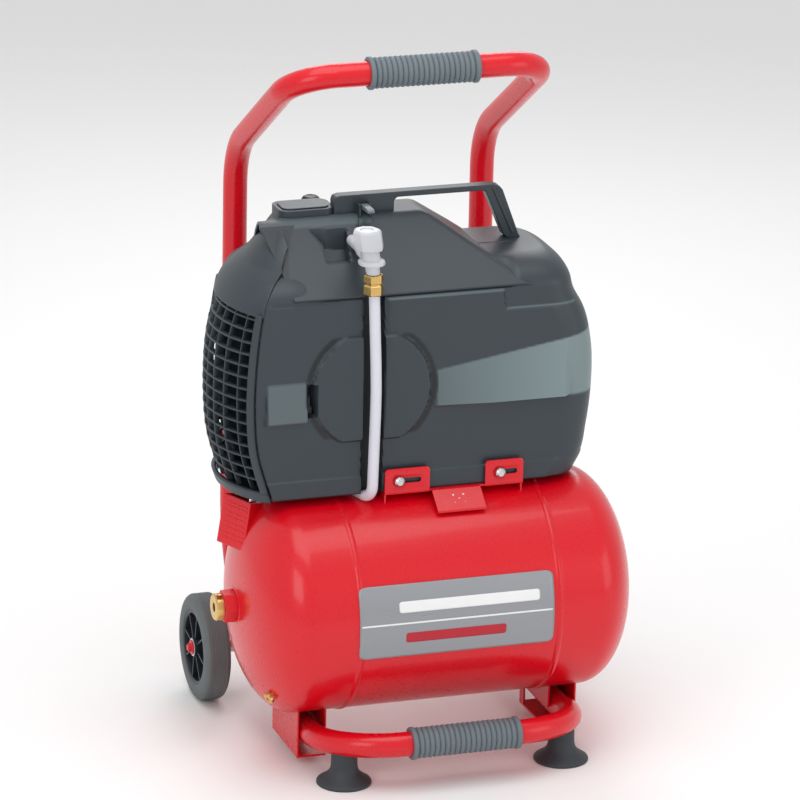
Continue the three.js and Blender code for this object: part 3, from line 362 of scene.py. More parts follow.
rear_line = bent([(-LEG_X, 20.3, RAIL_Z), (-LEG_X, LEG_Y, RAIL_Z), (-LEG_X, LEG_Y, KNEE_Z),
                  (-LEG_X, TOP_Y, TOP_Z), (LEG_X, TOP_Y, TOP_Z), (LEG_X, LEG_Y, KNEE_Z),
                  (LEG_X, LEG_Y, RAIL_Z), (LEG_X, 20.3, RAIL_Z)], [178, 80, 52, 52, 80, 178])
front_line = bent([(-LEG_X, 19.7, RAIL_Z), (-LEG_X, RISE_Y, RAIL_Z), (-LEG_X, BAR_Y, BAR_Z),
                   (LEG_X, BAR_Y, BAR_Z), (LEG_X, RISE_Y, RAIL_Z), (LEG_X, 19.7, RAIL_Z)], [120, 82, 82, 120])
piece("rear_tube", [swept(rear_line, TUBE_R, (-1, -1, 0.2), wall=1.8)], red_gloss,
      stands_for=["handle_tube"])
piece("front_tube", [swept(front_line, TUBE_R, (0.1, 0.1, 1), wall=1.8)], red_gloss,
      stands_for=["front_rail"])


# ---- Grips ----
# Grey rubber sleeves with round ribs and a collar at each end, pushed onto the tubes.

grip_grey = finish("grey grip rubber", (0.135, 0.165, 0.185), 0.62, mottle=0.14, patch=40, grain=900,
                   depth=0.04)
GRIP_HALF, RIBS = 64.0, 19
RIB_HALF = GRIP_HALF - 6.5
along = np.linspace(-RIB_HALF, RIB_HALF, RIBS * 14 + 1)
ribbed = 15.4 + 2.3 * np.abs(np.sin(np.pi * RIBS * (along + RIB_HALF) / (2 * RIB_HALF))) ** 0.6
collar = np.array([[0, 14.4], [0, 17.6], [0.8, 18.6], [4.4, 18.6], [5.2, 17.8], [6, 16]]) - [GRIP_HALF, 0]
grip_line = np.vstack([collar, np.stack([along, ribbed], -1), collar[::-1] * [-1, 1]])
for name, place, node in (("top_grip", (0, TOP_Y, TOP_Z), "handle_grip"),
                          ("rail_grip", (0, BAR_Y, BAR_Z), "front_grip")):
    piece(name, [turned(grip_line, "x", place, 64, loop=True)], grip_grey,
          stands_for=[node], sharp=60)


# ---- Brackets ----
# Folded channels of red steel, welded under the tank, that hold the ends of both tubes.

CHANNEL_FRONT, CHANNEL_REAR, CHANNEL_LOW, SHEET = -50, 46, 10, 2.5


def drawn(outline, axis, low, high):
    """A flat outline of [across, up] points drawn out along an axis between two places."""
    outline = np.asarray(outline, float)
    across, up = outline[:, 0], outline[:, 1]
    order = {"x": lambda t: (t, across, up), "y": lambda t: (across, t, up),
             "z": lambda t: (across, up, t)}[axis]
    return skin([np.stack(np.broadcast_arrays(*order(np.full(len(across), t))), -1) for t in (low, high)])


def under_tank(x, front, rear, low, steps=24):
    """The outline of a cheek: flat below and along the tank's round underside above."""
    inset = max(0.0, abs(x) - dome_start) / DOME
    reach = (TANK_R - 2) * math.sqrt(1 - min(0.98, inset) ** 2)
    y = np.linspace(rear, front, steps)
    return np.vstack([[(front, low), (rear, low)], np.stack([y, TANK_Z - np.sqrt(reach ** 2 - y ** 2)], -1)])


for name, side in (("left", -1), ("right", 1)):
    cheeks = []
    for x, low in ((LEG_X + 14.6, CHANNEL_LOW), (LEG_X - 17.1, 40)):
        ends = sorted((side * x, side * (x + SHEET)))
        cheeks.append(drawn(under_tank(x, CHANNEL_FRONT, CHANNEL_REAR, low), "x", *ends))
    floor_x = sorted((side * (LEG_X - 17), side * (LEG_X + 17)))
    cheeks.append(block((floor_x[0], CHANNEL_FRONT, CHANNEL_LOW),
                        (floor_x[1], CHANNEL_REAR, CHANNEL_LOW + SHEET)))
    post_x = sorted((side * (LEG_X - 17.1), side * (LEG_X - 14.6)))
    cheeks.append(block((post_x[0], 32, 11), (post_x[1], CHANNEL_REAR, 41)))
    piece("bracket_sheet_" + name, cheeks, red_gloss, stands_for=["bracket_" + name],
          bevel=0.8)


# ---- Feet ----
# Dark rubber suction feet, each on a stud screwed up into the front rail.

foot_dark = finish("dark foot rubber", (0.03, 0.038, 0.045), 0.6, mottle=0.25, patch=45, grain=700,
                   depth=0.05)
foot_low, foot_high = (np.array(corner) * 1000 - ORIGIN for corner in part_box("foot_right"))
FOOT_Y = (foot_low[1] + foot_high[1]) / 2
foot_line = [(4, 0.5), (3, 18), (0.3, 28), (0, 28.6), (0, 30.6), (0.8, 31.2), (2.4, 31.2), (3.6, 30.4),
             (6, 26.6), (9, 22.4), (12, 19), (15, 16.8), (18, 15.6), (22, 15), (32, 14.8), (38, 14.6),
             (39.4, 13.6), (39.6, 12), (39.6, 5.2), (46, 5), (48, 4), (48, 0.5)]
for name, side in (("left", -1), ("right", 1)):
    piece("suction_foot_" + name, [turned(foot_line, "z", (side * 129.5, FOOT_Y, 0), 72)], foot_dark,
          stands_for=["foot_" + name], sharp=50)


# ---- Wheels ----
# Grey rubber tyres on dark moulded hubs with thin ribs, with a push-on cap on the axle's end.

tyre_grey = finish("grey tyre rubber", (0.105, 0.122, 0.125), 0.7, mottle=0.16, patch=35, grain=600,
                   depth=0.06, dust=(0.13, 0.145, 0.148))
hub_dark = finish("dark hub plastic", (0.012, 0.016, 0.024), 0.38, mottle=0.2, patch=40, grain=900,
                  depth=0.02)
cap_red = finish("red cap plastic", (0.6, 0.01, 0.015), 0.35, mottle=0.06, patch=60, grain=1200, depth=0.01)
axle_low, axle_high = (np.array(corner) * 1000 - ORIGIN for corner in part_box("axle"))
AXLE_Y, AXLE_Z = (axle_low[1:] + axle_high[1:]) / 2
WHEEL_X, TYRE_R, SPOKES = 207, 62.3, 8
tread = np.linspace(-9.5, 9.5, 120)
tread_r = TYRE_R - 0.55 * (np.cos(tread * 2 * np.pi / 3.2) > 0.86)
shoulder = np.array([[-13.6, 43.4], [-15, 45], [-15.5, 48], [-15.5, 53], [-15, 56], [-13.9, 58.8],
                     [-12.2, 60.8], [-10.4, 61.9]])
tyre_line = np.vstack([shoulder, np.stack([tread, tread_r], -1), shoulder[::-1] * [-1, 1]])
hub_line = [(-13.5, 43.3), (-13.5, 40.5), (-12.5, 39.5), (-3, 38.6), (-3, 13), (-15.4, 12.6), (-15.4, 6.6),
            (15.4, 6.6), (15.4, 10.6), (14.6, 11.4), (4, 12), (4, 38.6), (12.6, 39.8), (13.6, 40.8),
            (13.6, 43.3)]
cap_line = np.array([[15.6, 1.0], [15.6, 8.4], [16.8, 8.6], [17.2, 8.0], [17.2, 5.6], [17.6, 5.2],
                     [20.2, 4.8], [21.4, 3.6], [21.6, 1.0]])
for name, side in (("left", -1), ("right", 1)):
    place = (side * WHEEL_X, AXLE_Y, AXLE_Z)
    body = "wheel_" + name
    piece("tyre_ring_" + name, [turned(tyre_line, "x", place, 120, loop=True)], tyre_grey, body,
          ["tyre_" + name], sharp=50)
    ribs = []
    for turn in np.arange(SPOKES) * 2 * np.pi / SPOKES + 0.2:
        points, faces = block((2, -1.1, 11), (13, 1.1, 39.6))
        c, s = math.cos(turn), math.sin(turn)
        ribs.append((points @ np.array([[1, 0, 0], [0, c, s], [0, -s, c]]) * [side, 1, 1] + place, faces))
    piece("hub_rim_" + name, [turned(np.array(hub_line) * [side, 1], "x", place, 96, loop=True)], hub_dark,
          body, ["hub_" + name], sharp=30)
    piece("hub_ribs_" + name, ribs, hub_dark, body, bevel=0.5)
    sleeve = np.array([[14.8, 7.2], [15.5, 7.2], [15.7, 9.8], [15.2, 10.8], [14.8, 10.8]]) * [side, 1]
    piece("hub_bush_" + name, [turned(sleeve, "x", place, 48, loop=True)], zinc, body)
    piece("axle_cap_" + name, [turned(cap_line * [side, 1], "x", place, 40)], cap_red, body,
          ["hub_cap_" + name], sharp=30)


# ---- Mount plate ----
# A pressed red sheet on the tank's top, with two slotted tabs folded up in front of the hood,
# a sloping badge lip between them, and two folded webs that are welded to the tank.

PLATE_LOW, PLATE_TOP, TAB_FRONT, TAB_REAR = 313.5, 316.0, -42.5, -40.0
SLOT_Z = 329.0


def slotted_tab(low_x, high_x, slot_low, slot_high, top, slot_half=3.2, steps=16):
    """A tab with a round-ended slot. Rings run from the slot's edge, through a pressed bevel,
    to the tab's rounded outline: each ring blends the two outlines by a share."""
    half = np.linspace(-np.pi / 2, np.pi / 2, steps)
    across, up = slot_half * np.cos(half), slot_half * np.sin(half)
    inner = np.vstack([np.stack([slot_high + across, SLOT_Z + up], -1),
                       np.stack([slot_low - across, SLOT_Z - up], -1)])
    corner, bottom = 4.0, PLATE_LOW
    quarter = np.linspace(0, np.pi / 2, steps // 2)
    outer = []
    for x, z, start in ((high_x - corner, bottom + 0.5, -1), (high_x - corner, top - corner, 0),
                        (low_x + corner, top - corner, 1), (low_x + corner, bottom + 0.5, 2)):
        r = corner if z > bottom + 1 else 0.4
        x = x if r > 1 else (high_x - r if x > (low_x + high_x) / 2 else low_x + r)
        outer.append(np.stack([x + r * np.cos(quarter + start * np.pi / 2),
                               z + r * np.sin(quarter + start * np.pi / 2)], -1))
    outer = np.vstack(outer)
    rings = []
    for share, y in ((0, TAB_REAR), (0, TAB_FRONT + 1.4), (0.16, TAB_FRONT + 1.2), (0.34, TAB_FRONT),
                     (0.9, TAB_FRONT), (1, TAB_FRONT + 0.5), (1, TAB_REAR), (0, TAB_REAR)):
        flat = inner * (1 - share) + outer * share
        rings.append(np.column_stack([flat[:, 0], np.full(len(flat), y), flat[:, 1]]))
    return skin(rings, capped=False)


webs = []
web_y = np.linspace(100, -40, 30)
for x in (-66, 95.5):
    outline = np.vstack([[(-40, PLATE_LOW + 1), (100, PLATE_LOW + 1)],
                         np.stack([web_y, TANK_Z + np.sqrt((TANK_R - 2) ** 2 - web_y ** 2)], -1)])
    webs.append(drawn(outline, "x", x, x + 2.5))
badge = drawn([(-39, PLATE_LOW), (-39, PLATE_TOP), (TAB_FRONT - 1, PLATE_TOP - 0.4),
               (TAB_FRONT - 25, PLATE_TOP - 18), (TAB_FRONT - 25, PLATE_TOP - 20.5),
               (TAB_FRONT - 1, PLATE_LOW - 0.4)], "x", -11, 47)
piece("pump_plate", [block((-66, TAB_REAR - 1, PLATE_LOW), (98, 100, PLATE_TOP)), badge, *webs], red_gloss,
      stands_for=["mount_plate"], bevel=0.8)
piece("plate_tabs", [slotted_tab(-66, -13, -49.5, -26, 343.5), slotted_tab(53, 98, 70, 88, 343.5)], red_gloss,
      sharp=30)
dot = turned([(-0.5, 0.2), (0.5, 0.2 + 1.1), (0.7, 0.2)], "z", (0, 0, 0), 12)
dot_places = [np.array([18 + dx, TAB_FRONT - 12 - dz, PLATE_TOP - 9.2 - dz * 0.75])
              for dx, dz in ((-6, -4), (6, -4), (0, 0), (-6, 4), (6, 4))]
dots = [aimed(dot, np.array([0, -0.58, 0.81]), place) for place in dot_places]
piece("badge_dots", dots, print_white)
screw_line = [(-47.9, 0.4), (-47.9, 3.4), (-46.2, 5.6), (-44.4, 6.3), (-42.8, 6.3), (-42.8, 2.8), (-33, 2.8),
              (-33, 0.4)]
socket_line = [(-48.0, 0.4), (-48.0, 1.9), (-47.2, 1.9), (-47.2, 0.4)]
for name, x in (("left", -49.5), ("right", 70)):
    piece("tab_fixing_" + name, [turned(screw_line, "y", (x, 0, SLOT_Z), 40),
                                 turned(socket_line, "y", (x, 0, SLOT_Z), 6)], zinc,
          stands_for=["tab_screw_" + name], sharp=25)


# ---- Hood ----
# A moulded shell of grained slate plastic over the motor pump. The front carries raised and
# sunk panels, the right end is barrel shaped, and the left end is open for the grille.

hood_slate = finish("slate hood plastic", (0.027, 0.038, 0.047), 0.42, mottle=0.10, patch=7, grain=1100,
                    depth=0.028, swing=0.07)
HOOD_LOW, HOOD_TOP, HOOD_FRONT, HOOD_REAR = 316.3, 572.3, -35.0, 125.0
HOOD_MID, HOOD_HALF = (HOOD_FRONT + HOOD_REAR) / 2, (HOOD_REAR - HOOD_FRONT) / 2
LEVEL_Z = [316.3, 337, 368, 421, 466, 506, 530, 552, 566, 572.3]
RIDGE_X = [-195, -202, -211, -216, -215, -211.5, -208, -203, -198, -194]
RIGHT_X = [171, 182, 188, 193, 191, 181, 168, 162, 156, 151]


def curve(x, xs, ys):
    """A smooth line through stations: cubic between each pair, with the slopes of the chords
    to the neighbours on either side."""
    xs, ys = np.asarray(xs, float), np.asarray(ys, float)
    slope = np.gradient(ys, xs)
    i = np.clip(np.searchsorted(xs, x) - 1, 0, len(xs) - 2)
    h = xs[i + 1] - xs[i]
    t = np.clip((x - xs[i]) / h, 0, 1)
    a, b = (1 + 2 * t) * (1 - t) ** 2, t * t * (3 - 2 * t)
    return a * ys[i] + b * ys[i + 1] + t * (1 - t) ** 2 * h * slope[i] - t * t * (1 - t) * h * slope[i + 1]


def step(value, edge, soft):
    """0 under the edge and 1 over it, turning smoothly across the soft width."""
    t = np.clip((value - edge) / soft + 0.5, 0, 1)
    return t * t * (3 - 2 * t)


def between(value, low, high, soft):
    """1 between two edges and 0 outside, each turning across the soft width."""
    return step(value, low, soft) * (1 - step(value, high, soft))


DISC_X, DISC_Z, DISC_R, DISC_LOW, DISC_HIGH = -82, 439, 69, 380, 501
WEDGE_X, WEDGE_LOW = -6, 412
SIDE_LOW, SIDE_HIGH, SLOT_LEFT, SLOT_RIGHT, SLOT_LOW, SLOT_HIGH = 406, 452, -156, -147, 412, 449
GROOVE_LEFT, GROOVE_RIGHT = -91.5, -68.5  # the pipe's channel
STEP_Z = 541  # the moulding's upper step, which drops by 22 over the wedge


def wedge_high(x):
    """The wedge's top edge, a line that climbs to the right."""
    return 454 + (x + 6) * 0.165


def skirt(z):
    """The lip that stands out along the hood's foot."""
    return 2.2 * (1 - step(z, 337, 3))


def front_relief(x, z):
    """How far the front face stands out: a raised disc that is cut flat above and below, sunk
    arcs at its sides, a raised wedge, a plate with a slot, steps and the pipe's channel."""
    reach = np.hypot(x - DISC_X, z - DISC_Z)
    disc = between(z, DISC_LOW, DISC_HIGH, 3.5) * (1 - step(reach, DISC_R, 3))
    out = 5.0 * disc
    arcs = between(reach, DISC_R + 2, DISC_R + 8, 2) * between(z, DISC_LOW + 4, DISC_HIGH, 3)
    out = out - 5.0 * arcs * (1 - between(z, 452, 456, 2)) * (1 - between(z, 410, 414, 2))
    wedge_top = wedge_high(x)
    wedge = between(x, WEDGE_X, 150, 12) * between(z, WEDGE_LOW, wedge_top, 2.5)
    ramp = np.clip((wedge_top - z) / (wedge_top - WEDGE_LOW), 0, 1)
    out = np.maximum(out, wedge * (1.0 + 10.0 * ramp * np.clip((x + 30) / 90, 0.4, 1)))
    out = out - 3.0 * between(x, -4, 150, 3) * between(z - wedge_top, 0, 5, 2)
    side = between(x, -205, SLOT_LEFT, 3) * between(z, SIDE_LOW, SIDE_HIGH, 3)
    out = np.maximum(out, side * (2.0 + 4.0 * np.clip((SIDE_HIGH - z) / (SIDE_HIGH - SIDE_LOW), 0, 1)))
    out = out - 7 * between(x, SLOT_LEFT, SLOT_RIGHT, 2) * between(z, SLOT_LOW, SLOT_HIGH, 2)
    high_line = STEP_Z - 22 * step(x, 73, 5) - 0.01 * (x - 73)
    out = out + 2.2 * between(x, -64, 158, 4) * (1 - step(z, high_line, 3)) * step(z, 500, 70)
    out = out - 1.6 * between(z, STEP_Z, STEP_Z + 4, 2.5) * between(x, -200, -118, 3)
    out = out + skirt(z)
    channel = between(x, GROOVE_LEFT, GROOVE_RIGHT, 2.2)
    return out * (1 - channel) - 8.0 * channel


def front_painted_light(x, z):
    """Painted light on the front's moulding: a painted highlight (over 0) on the wedge, the side plate and
    the lines along the steps, and painted shade (under 0) in the sunk arcs, the slot and the channel."""
    reach = np.hypot(x - DISC_X, z - DISC_Z)
    wedge = between(x, WEDGE_X + 1, 240, 2) * between(z, WEDGE_LOW, wedge_high(x), 2)
    side = between(x, -203, SLOT_LEFT - 1, 2) * between(z, SIDE_LOW, SIDE_HIGH, 2)
    arcs = between(reach, DISC_R + 2, DISC_R + 8, 1.5) * between(z, DISC_LOW + 4, DISC_HIGH, 3)
    slot = between(x, SLOT_LEFT, SLOT_RIGHT, 2) * between(z, SLOT_LOW, SLOT_HIGH, 2)
    left_line = between(z, STEP_Z, STEP_Z + 2.5, 1.5) * between(x, -64, 72, 2)
    lines = left_line + between(z, STEP_Z - 22, STEP_Z - 20, 1.5) * between(x, 76, 160, 2)
    channel = between(x, GROOVE_LEFT + 0.5, GROOVE_RIGHT - 0.5, 2)
    # The wedge's painted highlight grows lighter towards the right. The side plate and step lines get a
    # weaker painted highlight, and the arcs, slot and channel get painted shade.
    brighter = (0.4 + 0.45 * np.clip(x / 140, 0, 1)) * wedge
    return brighter + 0.35 * side + 0.45 * lines - 0.95 * arcs - 0.9 * slot - 0.8 * channel


# Rows climb the wall, round the top edge on an ellipse by its angle, then run in over the deck.
EDGE_Y, EDGE_Z = 50.0, 32.0
edge_angle = np.linspace(0, np.pi / 2, 34)[1:]
WALL_ROWS, FRONT_COLUMNS, END_COLUMNS, REAR_COLUMNS = 125, 176, 41, 34
wall_z = np.linspace(HOOD_LOW, HOOD_TOP - EDGE_Z, WALL_ROWS)
row_z = np.concatenate([wall_z, HOOD_TOP - EDGE_Z + EDGE_Z * np.sin(edge_angle), np.full(12, HOOD_TOP)])
row_in = np.concatenate([np.zeros(WALL_ROWS), EDGE_Y * (1 - np.cos(edge_angle)),
                         np.linspace(EDGE_Y, 79.9, 13)[1:]])
ridge_row = curve(row_z, LEVEL_Z, RIDGE_X)
right_row = curve(row_z, LEVEL_Z, RIGHT_X)
SLOPE, SLOPE_LOW = 0.8, 545.0  # the cover's front slope, and its height at the hood's front face


def half_depth(inset, rear):
    """How far the outline is from the middle at the front, or at the rear, where the top edge
    is rounder by less: it gives 0 at both when the inset is at its full half depth."""
    if not rear:
        return HOOD_HALF - inset
    over = np.clip(inset - EDGE_Y, 0, None)
    edge = 0.42 * np.minimum(inset, EDGE_Y)
    return HOOD_HALF - edge - over * (HOOD_HALF - 0.42 * EDGE_Y) / 30


def under_cover(x, y, z):
    """Sinks the hood's shoulder just under the cover's slope, between its two sides."""
    weight = step(x, -150, 50) * (1 - step(x, 86, 16))
    return z - weight * np.clip(z - (SLOPE_LOW + SLOPE * (y - HOOD_FRONT) - 1.5), 0, None)


def hood_rows():
    """Each row goes along the front from the ridge, round the right end on a superellipse
    quarter at each corner, and back along the rear; the relief then moves the front in Y."""
    z, inset = row_z[:, None], row_in[:, None]
    ridge = ridge_row[:, None] + inset * 0.55
    right = right_row[:, None] - 0.3 * inset - 0.7 * np.clip(inset - EDGE_Y, 0, None)
    half, rear_half = half_depth(inset, False), half_depth(inset, True)
    corner_x = np.minimum(44, (right - ridge) * 0.3)
    share = np.linspace(0, 1, FRONT_COLUMNS)[None, :]
    front_x = ridge + (right - corner_x - ridge) * share
    front = np.stack(np.broadcast_arrays(front_x, HOOD_MID - half, z), -1)
    turn = np.linspace(-np.pi / 2, np.pi / 2, END_COLUMNS)[None, 1:-1]
    end_x = right - corner_x + corner_x * np.abs(np.cos(turn)) ** 0.75
    end_half = np.where(turn < 0, half, rear_half)
    end_y = HOOD_MID + end_half * np.sign(np.sin(turn)) * np.abs(np.sin(turn)) ** 0.55
    end = np.stack(np.broadcast_arrays(end_x, end_y, z), -1)
    rear_x = (right - corner_x) + (ridge - right + corner_x) * np.linspace(0, 1, REAR_COLUMNS)[None, :]
    rear = np.stack(np.broadcast_arrays(rear_x, HOOD_MID + rear_half, z), -1)
    relief = front_relief(front[..., 0], front[..., 2]) * np.clip(1 - inset / 18, 0, 1)
    front[..., 2] = under_cover(front[..., 0], front[..., 1], front[..., 2])
    front[..., 1] -= relief
    end[..., 0] += skirt(z) * np.cos(turn) ** 2
    return np.concatenate([front, end, rear], axis=1)


def with_painted_light(material, lighter=(0.20, 0.265, 0.275), darker=(0.004, 0.006, 0.008)):
    """A copy of a finish with painted light: its base colour goes to a lighter tone, a painted highlight,
    where the piece's "tone" is over 0, and to a darker one, painted shade, where it is under 0."""
    copy = material.copy()
    nodes, links = copy.node_tree.nodes, copy.node_tree.links
    shader = nodes["Principled BSDF"]
    colour = shader.inputs["Base Color"].links[0].from_socket
    read = nodes.new("ShaderNodeAttribute")
    read.attribute_name = "tone"
    for sign, target in ((1, lighter), (-1, darker)):
        amount = nodes.new("ShaderNodeMath")
        amount.operation, amount.use_clamp = "MULTIPLY", True
        links.new(read.outputs["Fac"], amount.inputs[0])
        amount.inputs[1].default_value = sign
        mix = nodes.new("ShaderNodeMix")
        mix.data_type = "RGBA"
        links.new(amount.outputs["Value"], mix.inputs["Factor"])
        links.new(colour, mix.inputs["A"])
        mix.inputs["B"].default_value = [*target, 1]
        colour = mix.outputs["Result"]
    links.new(colour, shader.inputs["Base Color"])
    return copy


def set_painted_light(obj, tone):
    """Writes a grid's tone, its painted highlight and painted shade, to its piece's points, in the grid's own
    order.
    """
    values = obj.data.attributes.new("tone", "FLOAT", "POINT").data
    values.foreach_set("value", tone.ravel().astype(np.float32))


# The hood's slate finish with painted light: painted highlights and painted shade from the tone each point
# carries, kept to the hood's front face.
slate_painted_light = with_painted_light(hood_slate)
rows = hood_rows()
near_front = (row_in < 12)[:, None] * (1 - step(rows[..., 1], HOOD_FRONT + 34, 6))
tone = front_painted_light(rows[..., 0], rows[..., 2]) * near_front
hood = piece("hood", [skin(rows, closed=False, capped=False)], slate_painted_light,
             stands_for=["hood_shell"], wall=2.4, mend=False, sharp=32)
set_painted_light(hood, tone)


# ---- Grille cap ----
# The hood's left end: a round-fronted guard of thin bars, with a smooth dome over it whose lip
# arches from side to side like an eyebrow.

END_R = 112.0
DOME_LOW = 531.0
BAR_ROWS, BAR_COLUMNS, ROW_PITCH, COLUMN_PITCH = 15, 7, 13.35, 20.0


def cap_x(y, z):
    """The end's face: an arc in plan from ridge to ridge, which is flatter towards the top."""
    ridge = curve(np.minimum(z, HOOD_TOP), LEVEL_Z, RIDGE_X)
    bow = np.sqrt(np.clip(END_R ** 2 - (y - HOOD_MID) ** 2, 0, None)) - math.sqrt(END_R ** 2 - HOOD_HALF ** 2)
    return ridge - bow * (1 - 0.3 * np.clip((z - 460) / 80, 0, 1) ** 2)


def dome_top(y):
    """The height of the dome's top across the end: an arch over the middle."""
    return HOOD_TOP + 34 * np.cos(np.clip((y - HOOD_MID) / 62, -1, 1) * np.pi / 2) ** 1.3


def dome():
    """The smooth part over the bars: rows by angle round an ellipse that leans in from the
    end's face, each row an arc across from the front shoulder to the rear one."""
    share = np.linspace(-1, 1, 101)[None, :]
    wall = np.linspace(DOME_LOW, HOOD_TOP - EDGE_Z, 6)[:, None] + 0 * share
    angle = np.concatenate([[0.0], edge_angle])[:, None]
    y_flat = HOOD_MID + HOOD_HALF * share
    high = dome_top(HOOD_MID + HOOD_HALF * share * (0.4 + 0.6 * np.cos(angle)))
    flat = 0.5 * np.cos(share * np.pi / 2) ** 0.7
    climb = (1 - flat) * np.sin(angle) + flat * angle / (np.pi / 2)
    z = np.concatenate([wall[:-1], HOOD_TOP - EDGE_Z + (high - HOOD_TOP + EDGE_Z) * climb])
    inset = np.concatenate([0 * wall[:-1],
                            EDGE_Y * ((1 - flat) * (1 - np.cos(angle)) + flat * angle / (np.pi / 2))])
    y = HOOD_MID + np.where(share < 0, half_depth(inset, False), half_depth(inset, True)) * share
    lean = 0.55 + 0.5 * np.cos(share * np.pi / 2) ** 0.7
    return np.stack([cap_x(y_flat + 0 * z, z) + inset * lean, y, z], -1)


def cap_border(z_low, z_high, y_low, y_high, rows_count, columns):
    """A plain part of the end's face between two heights and two places across."""
    z, y = np.meshgrid(np.linspace(z_low, z_high, rows_count), np.linspace(y_low, y_high, columns),
                       indexing="ij")
    return skin(np.stack([cap_x(y, z) - 1.2, y, z], -1), closed=False, capped=False)


piece("grille_dome", [skin(dome(), closed=False, capped=False)], hood_slate,
      stands_for=["grille_cap"], wall=2.4, mend=False, sharp=40)
piece("grille_border", [cap_border(HOOD_LOW, 327, HOOD_FRONT, HOOD_REAR, 8, 81),
                        cap_border(326, 534, HOOD_FRONT, HOOD_FRONT + 5.5, 80, 5),
                        cap_border(326, 534, HOOD_REAR - 5.5, HOOD_REAR, 80, 5)], hood_slate,
      wall=5, mend=False)


def bar_along(points, outward, wide, deep):
    """A bar of rounded section carried along points: wide across it and deep behind it."""
    points, outward = np.asarray(points, float), np.asarray(outward, float)
    direction = np.gradient(points, axis=0)
    direction /= np.linalg.norm(direction, axis=1)[:, None]
    across = np.cross(direction, outward)
    across /= np.linalg.norm(across, axis=1)[:, None]
    section = np.array([(-0.5, -1), (-0.5, -0.15), (-0.28, 0), (0.28, 0), (0.5, -0.15), (0.5, -1)])
    ring = section[None, :, :1] * wide * across[:, None] + section[None, :, 1:] * deep * outward[:, None]
    return skin(points[:, None] + ring)


bars = []
for row in range(1, BAR_ROWS + 1):
    z = 326.5 + row * ROW_PITCH
    y = np.linspace(HOOD_FRONT + 3, HOOD_REAR - 3, 41)
    points = np.stack([cap_x(y, np.full_like(y, z)), y, np.full_like(y, z)], -1)
    outward = np.stack([-np.sqrt(END_R ** 2 - (y - HOOD_MID) ** 2), y - HOOD_MID, 0 * y], -1) / END_R
    bars.append(bar_along(points, outward, 2.6, 6))
for column in range(1, BAR_COLUMNS + 1):
    y = HOOD_FRONT + column * COLUMN_PITCH
    z = np.linspace(325, DOME_LOW + 1, 40)
    points = np.stack([cap_x(y, z) + 0.3, np.full_like(z, y), z], -1)
    outward = np.tile([-math.sqrt(END_R ** 2 - (y - HOOD_MID) ** 2) / END_R, (y - HOOD_MID) / END_R, 0],
                      (40, 1))
    bars.append(bar_along(points, outward, 2.2, 6))
piece("grille_bars", bars, hood_slate, sharp=30)


# ---- Fan shroud and hood floor ----
# Black panels that close the hood behind the grille and below: a plate with a bell mouth round
# the fan, and a tray on the mount plate's level.

black_satin = finish("black satin plastic", (0.014, 0.016, 0.02), 0.4, mottle=0.2, patch=40, grain=1100,
                     depth=0.02)
SHAFT_Z = 432.0
MOUTH_R = 69.5


def shroud(steps=96):
    """Rings from the fan's opening out to a rounded square: the reach of each is a share of
    the way from a circle to the square's own superellipse."""
    turn = np.linspace(0, 2 * np.pi, steps, endpoint=False)
    c, s = np.cos(turn), np.sin(turn)
    square_y, square_z = 76 * np.sign(c) * np.abs(c) ** 0.35, 113 * np.sign(s) * np.abs(s) ** 0.35
    rings = []
    for share, x in ((0, -181), (0.0, -163), (0.06, -160), (1, -158), (1, -156), (0.06, -158), (0.0, -161),
                     (-0.02, -181)):
        y = MOUTH_R * c * (1 - share) + square_y * share
        z = MOUTH_R * s * (1 - share) + square_z * share
        rings.append(np.stack([np.full(steps, float(x)), HOOD_MID + y, SHAFT_Z + z], -1))
    return skin(rings + rings[:1], capped=False)


piece("fan_shroud", [shroud()], black_satin, sharp=40)
tray_y = np.linspace(HOOD_REAR - 4, HOOD_FRONT + 4, 30)
tray_edge = np.stack([cap_x(tray_y, np.full(30, HOOD_LOW)) + 5, tray_y], -1)
tray_outline = np.vstack([tray_edge, [(120, HOOD_FRONT + 4), (152, HOOD_FRONT + 22), (160, HOOD_MID),
                                      (152, HOOD_REAR - 22), (120, HOOD_REAR - 4)]])
piece("hood_tray", [drawn(tray_outline, "z", HOOD_LOW + 0.3, HOOD_LOW + 2)], black_satin)


# ---- Top cover ----
# A raised block over the hood's left half, with a sunk pocket in its front slope where the
# connector goes in, and a seam across its top.

COVER_TOP = 612.3


def least(a, b, soft):
    """The lower of two heights, blended where they are within the soft distance."""
    mix = np.clip(0.5 + 0.5 * (b - a) / soft, 0, 1)
    return b * (1 - mix) + a * mix - soft * mix * (1 - mix)


def in_polygon(x, y, corners, soft=1.5):
    """1 inside a convex outline given anticlockwise, 0 outside, turning across its edges."""
    inside = np.ones_like(x)
    for (ax, ay), (bx, by) in zip(corners, corners[1:] + corners[:1]):
        length = math.hypot(bx - ax, by - ay)
        inside = inside * step(((bx - ax) * (y - ay) - (by - ay) * (x - ax)) / length, 0, soft)
    return inside


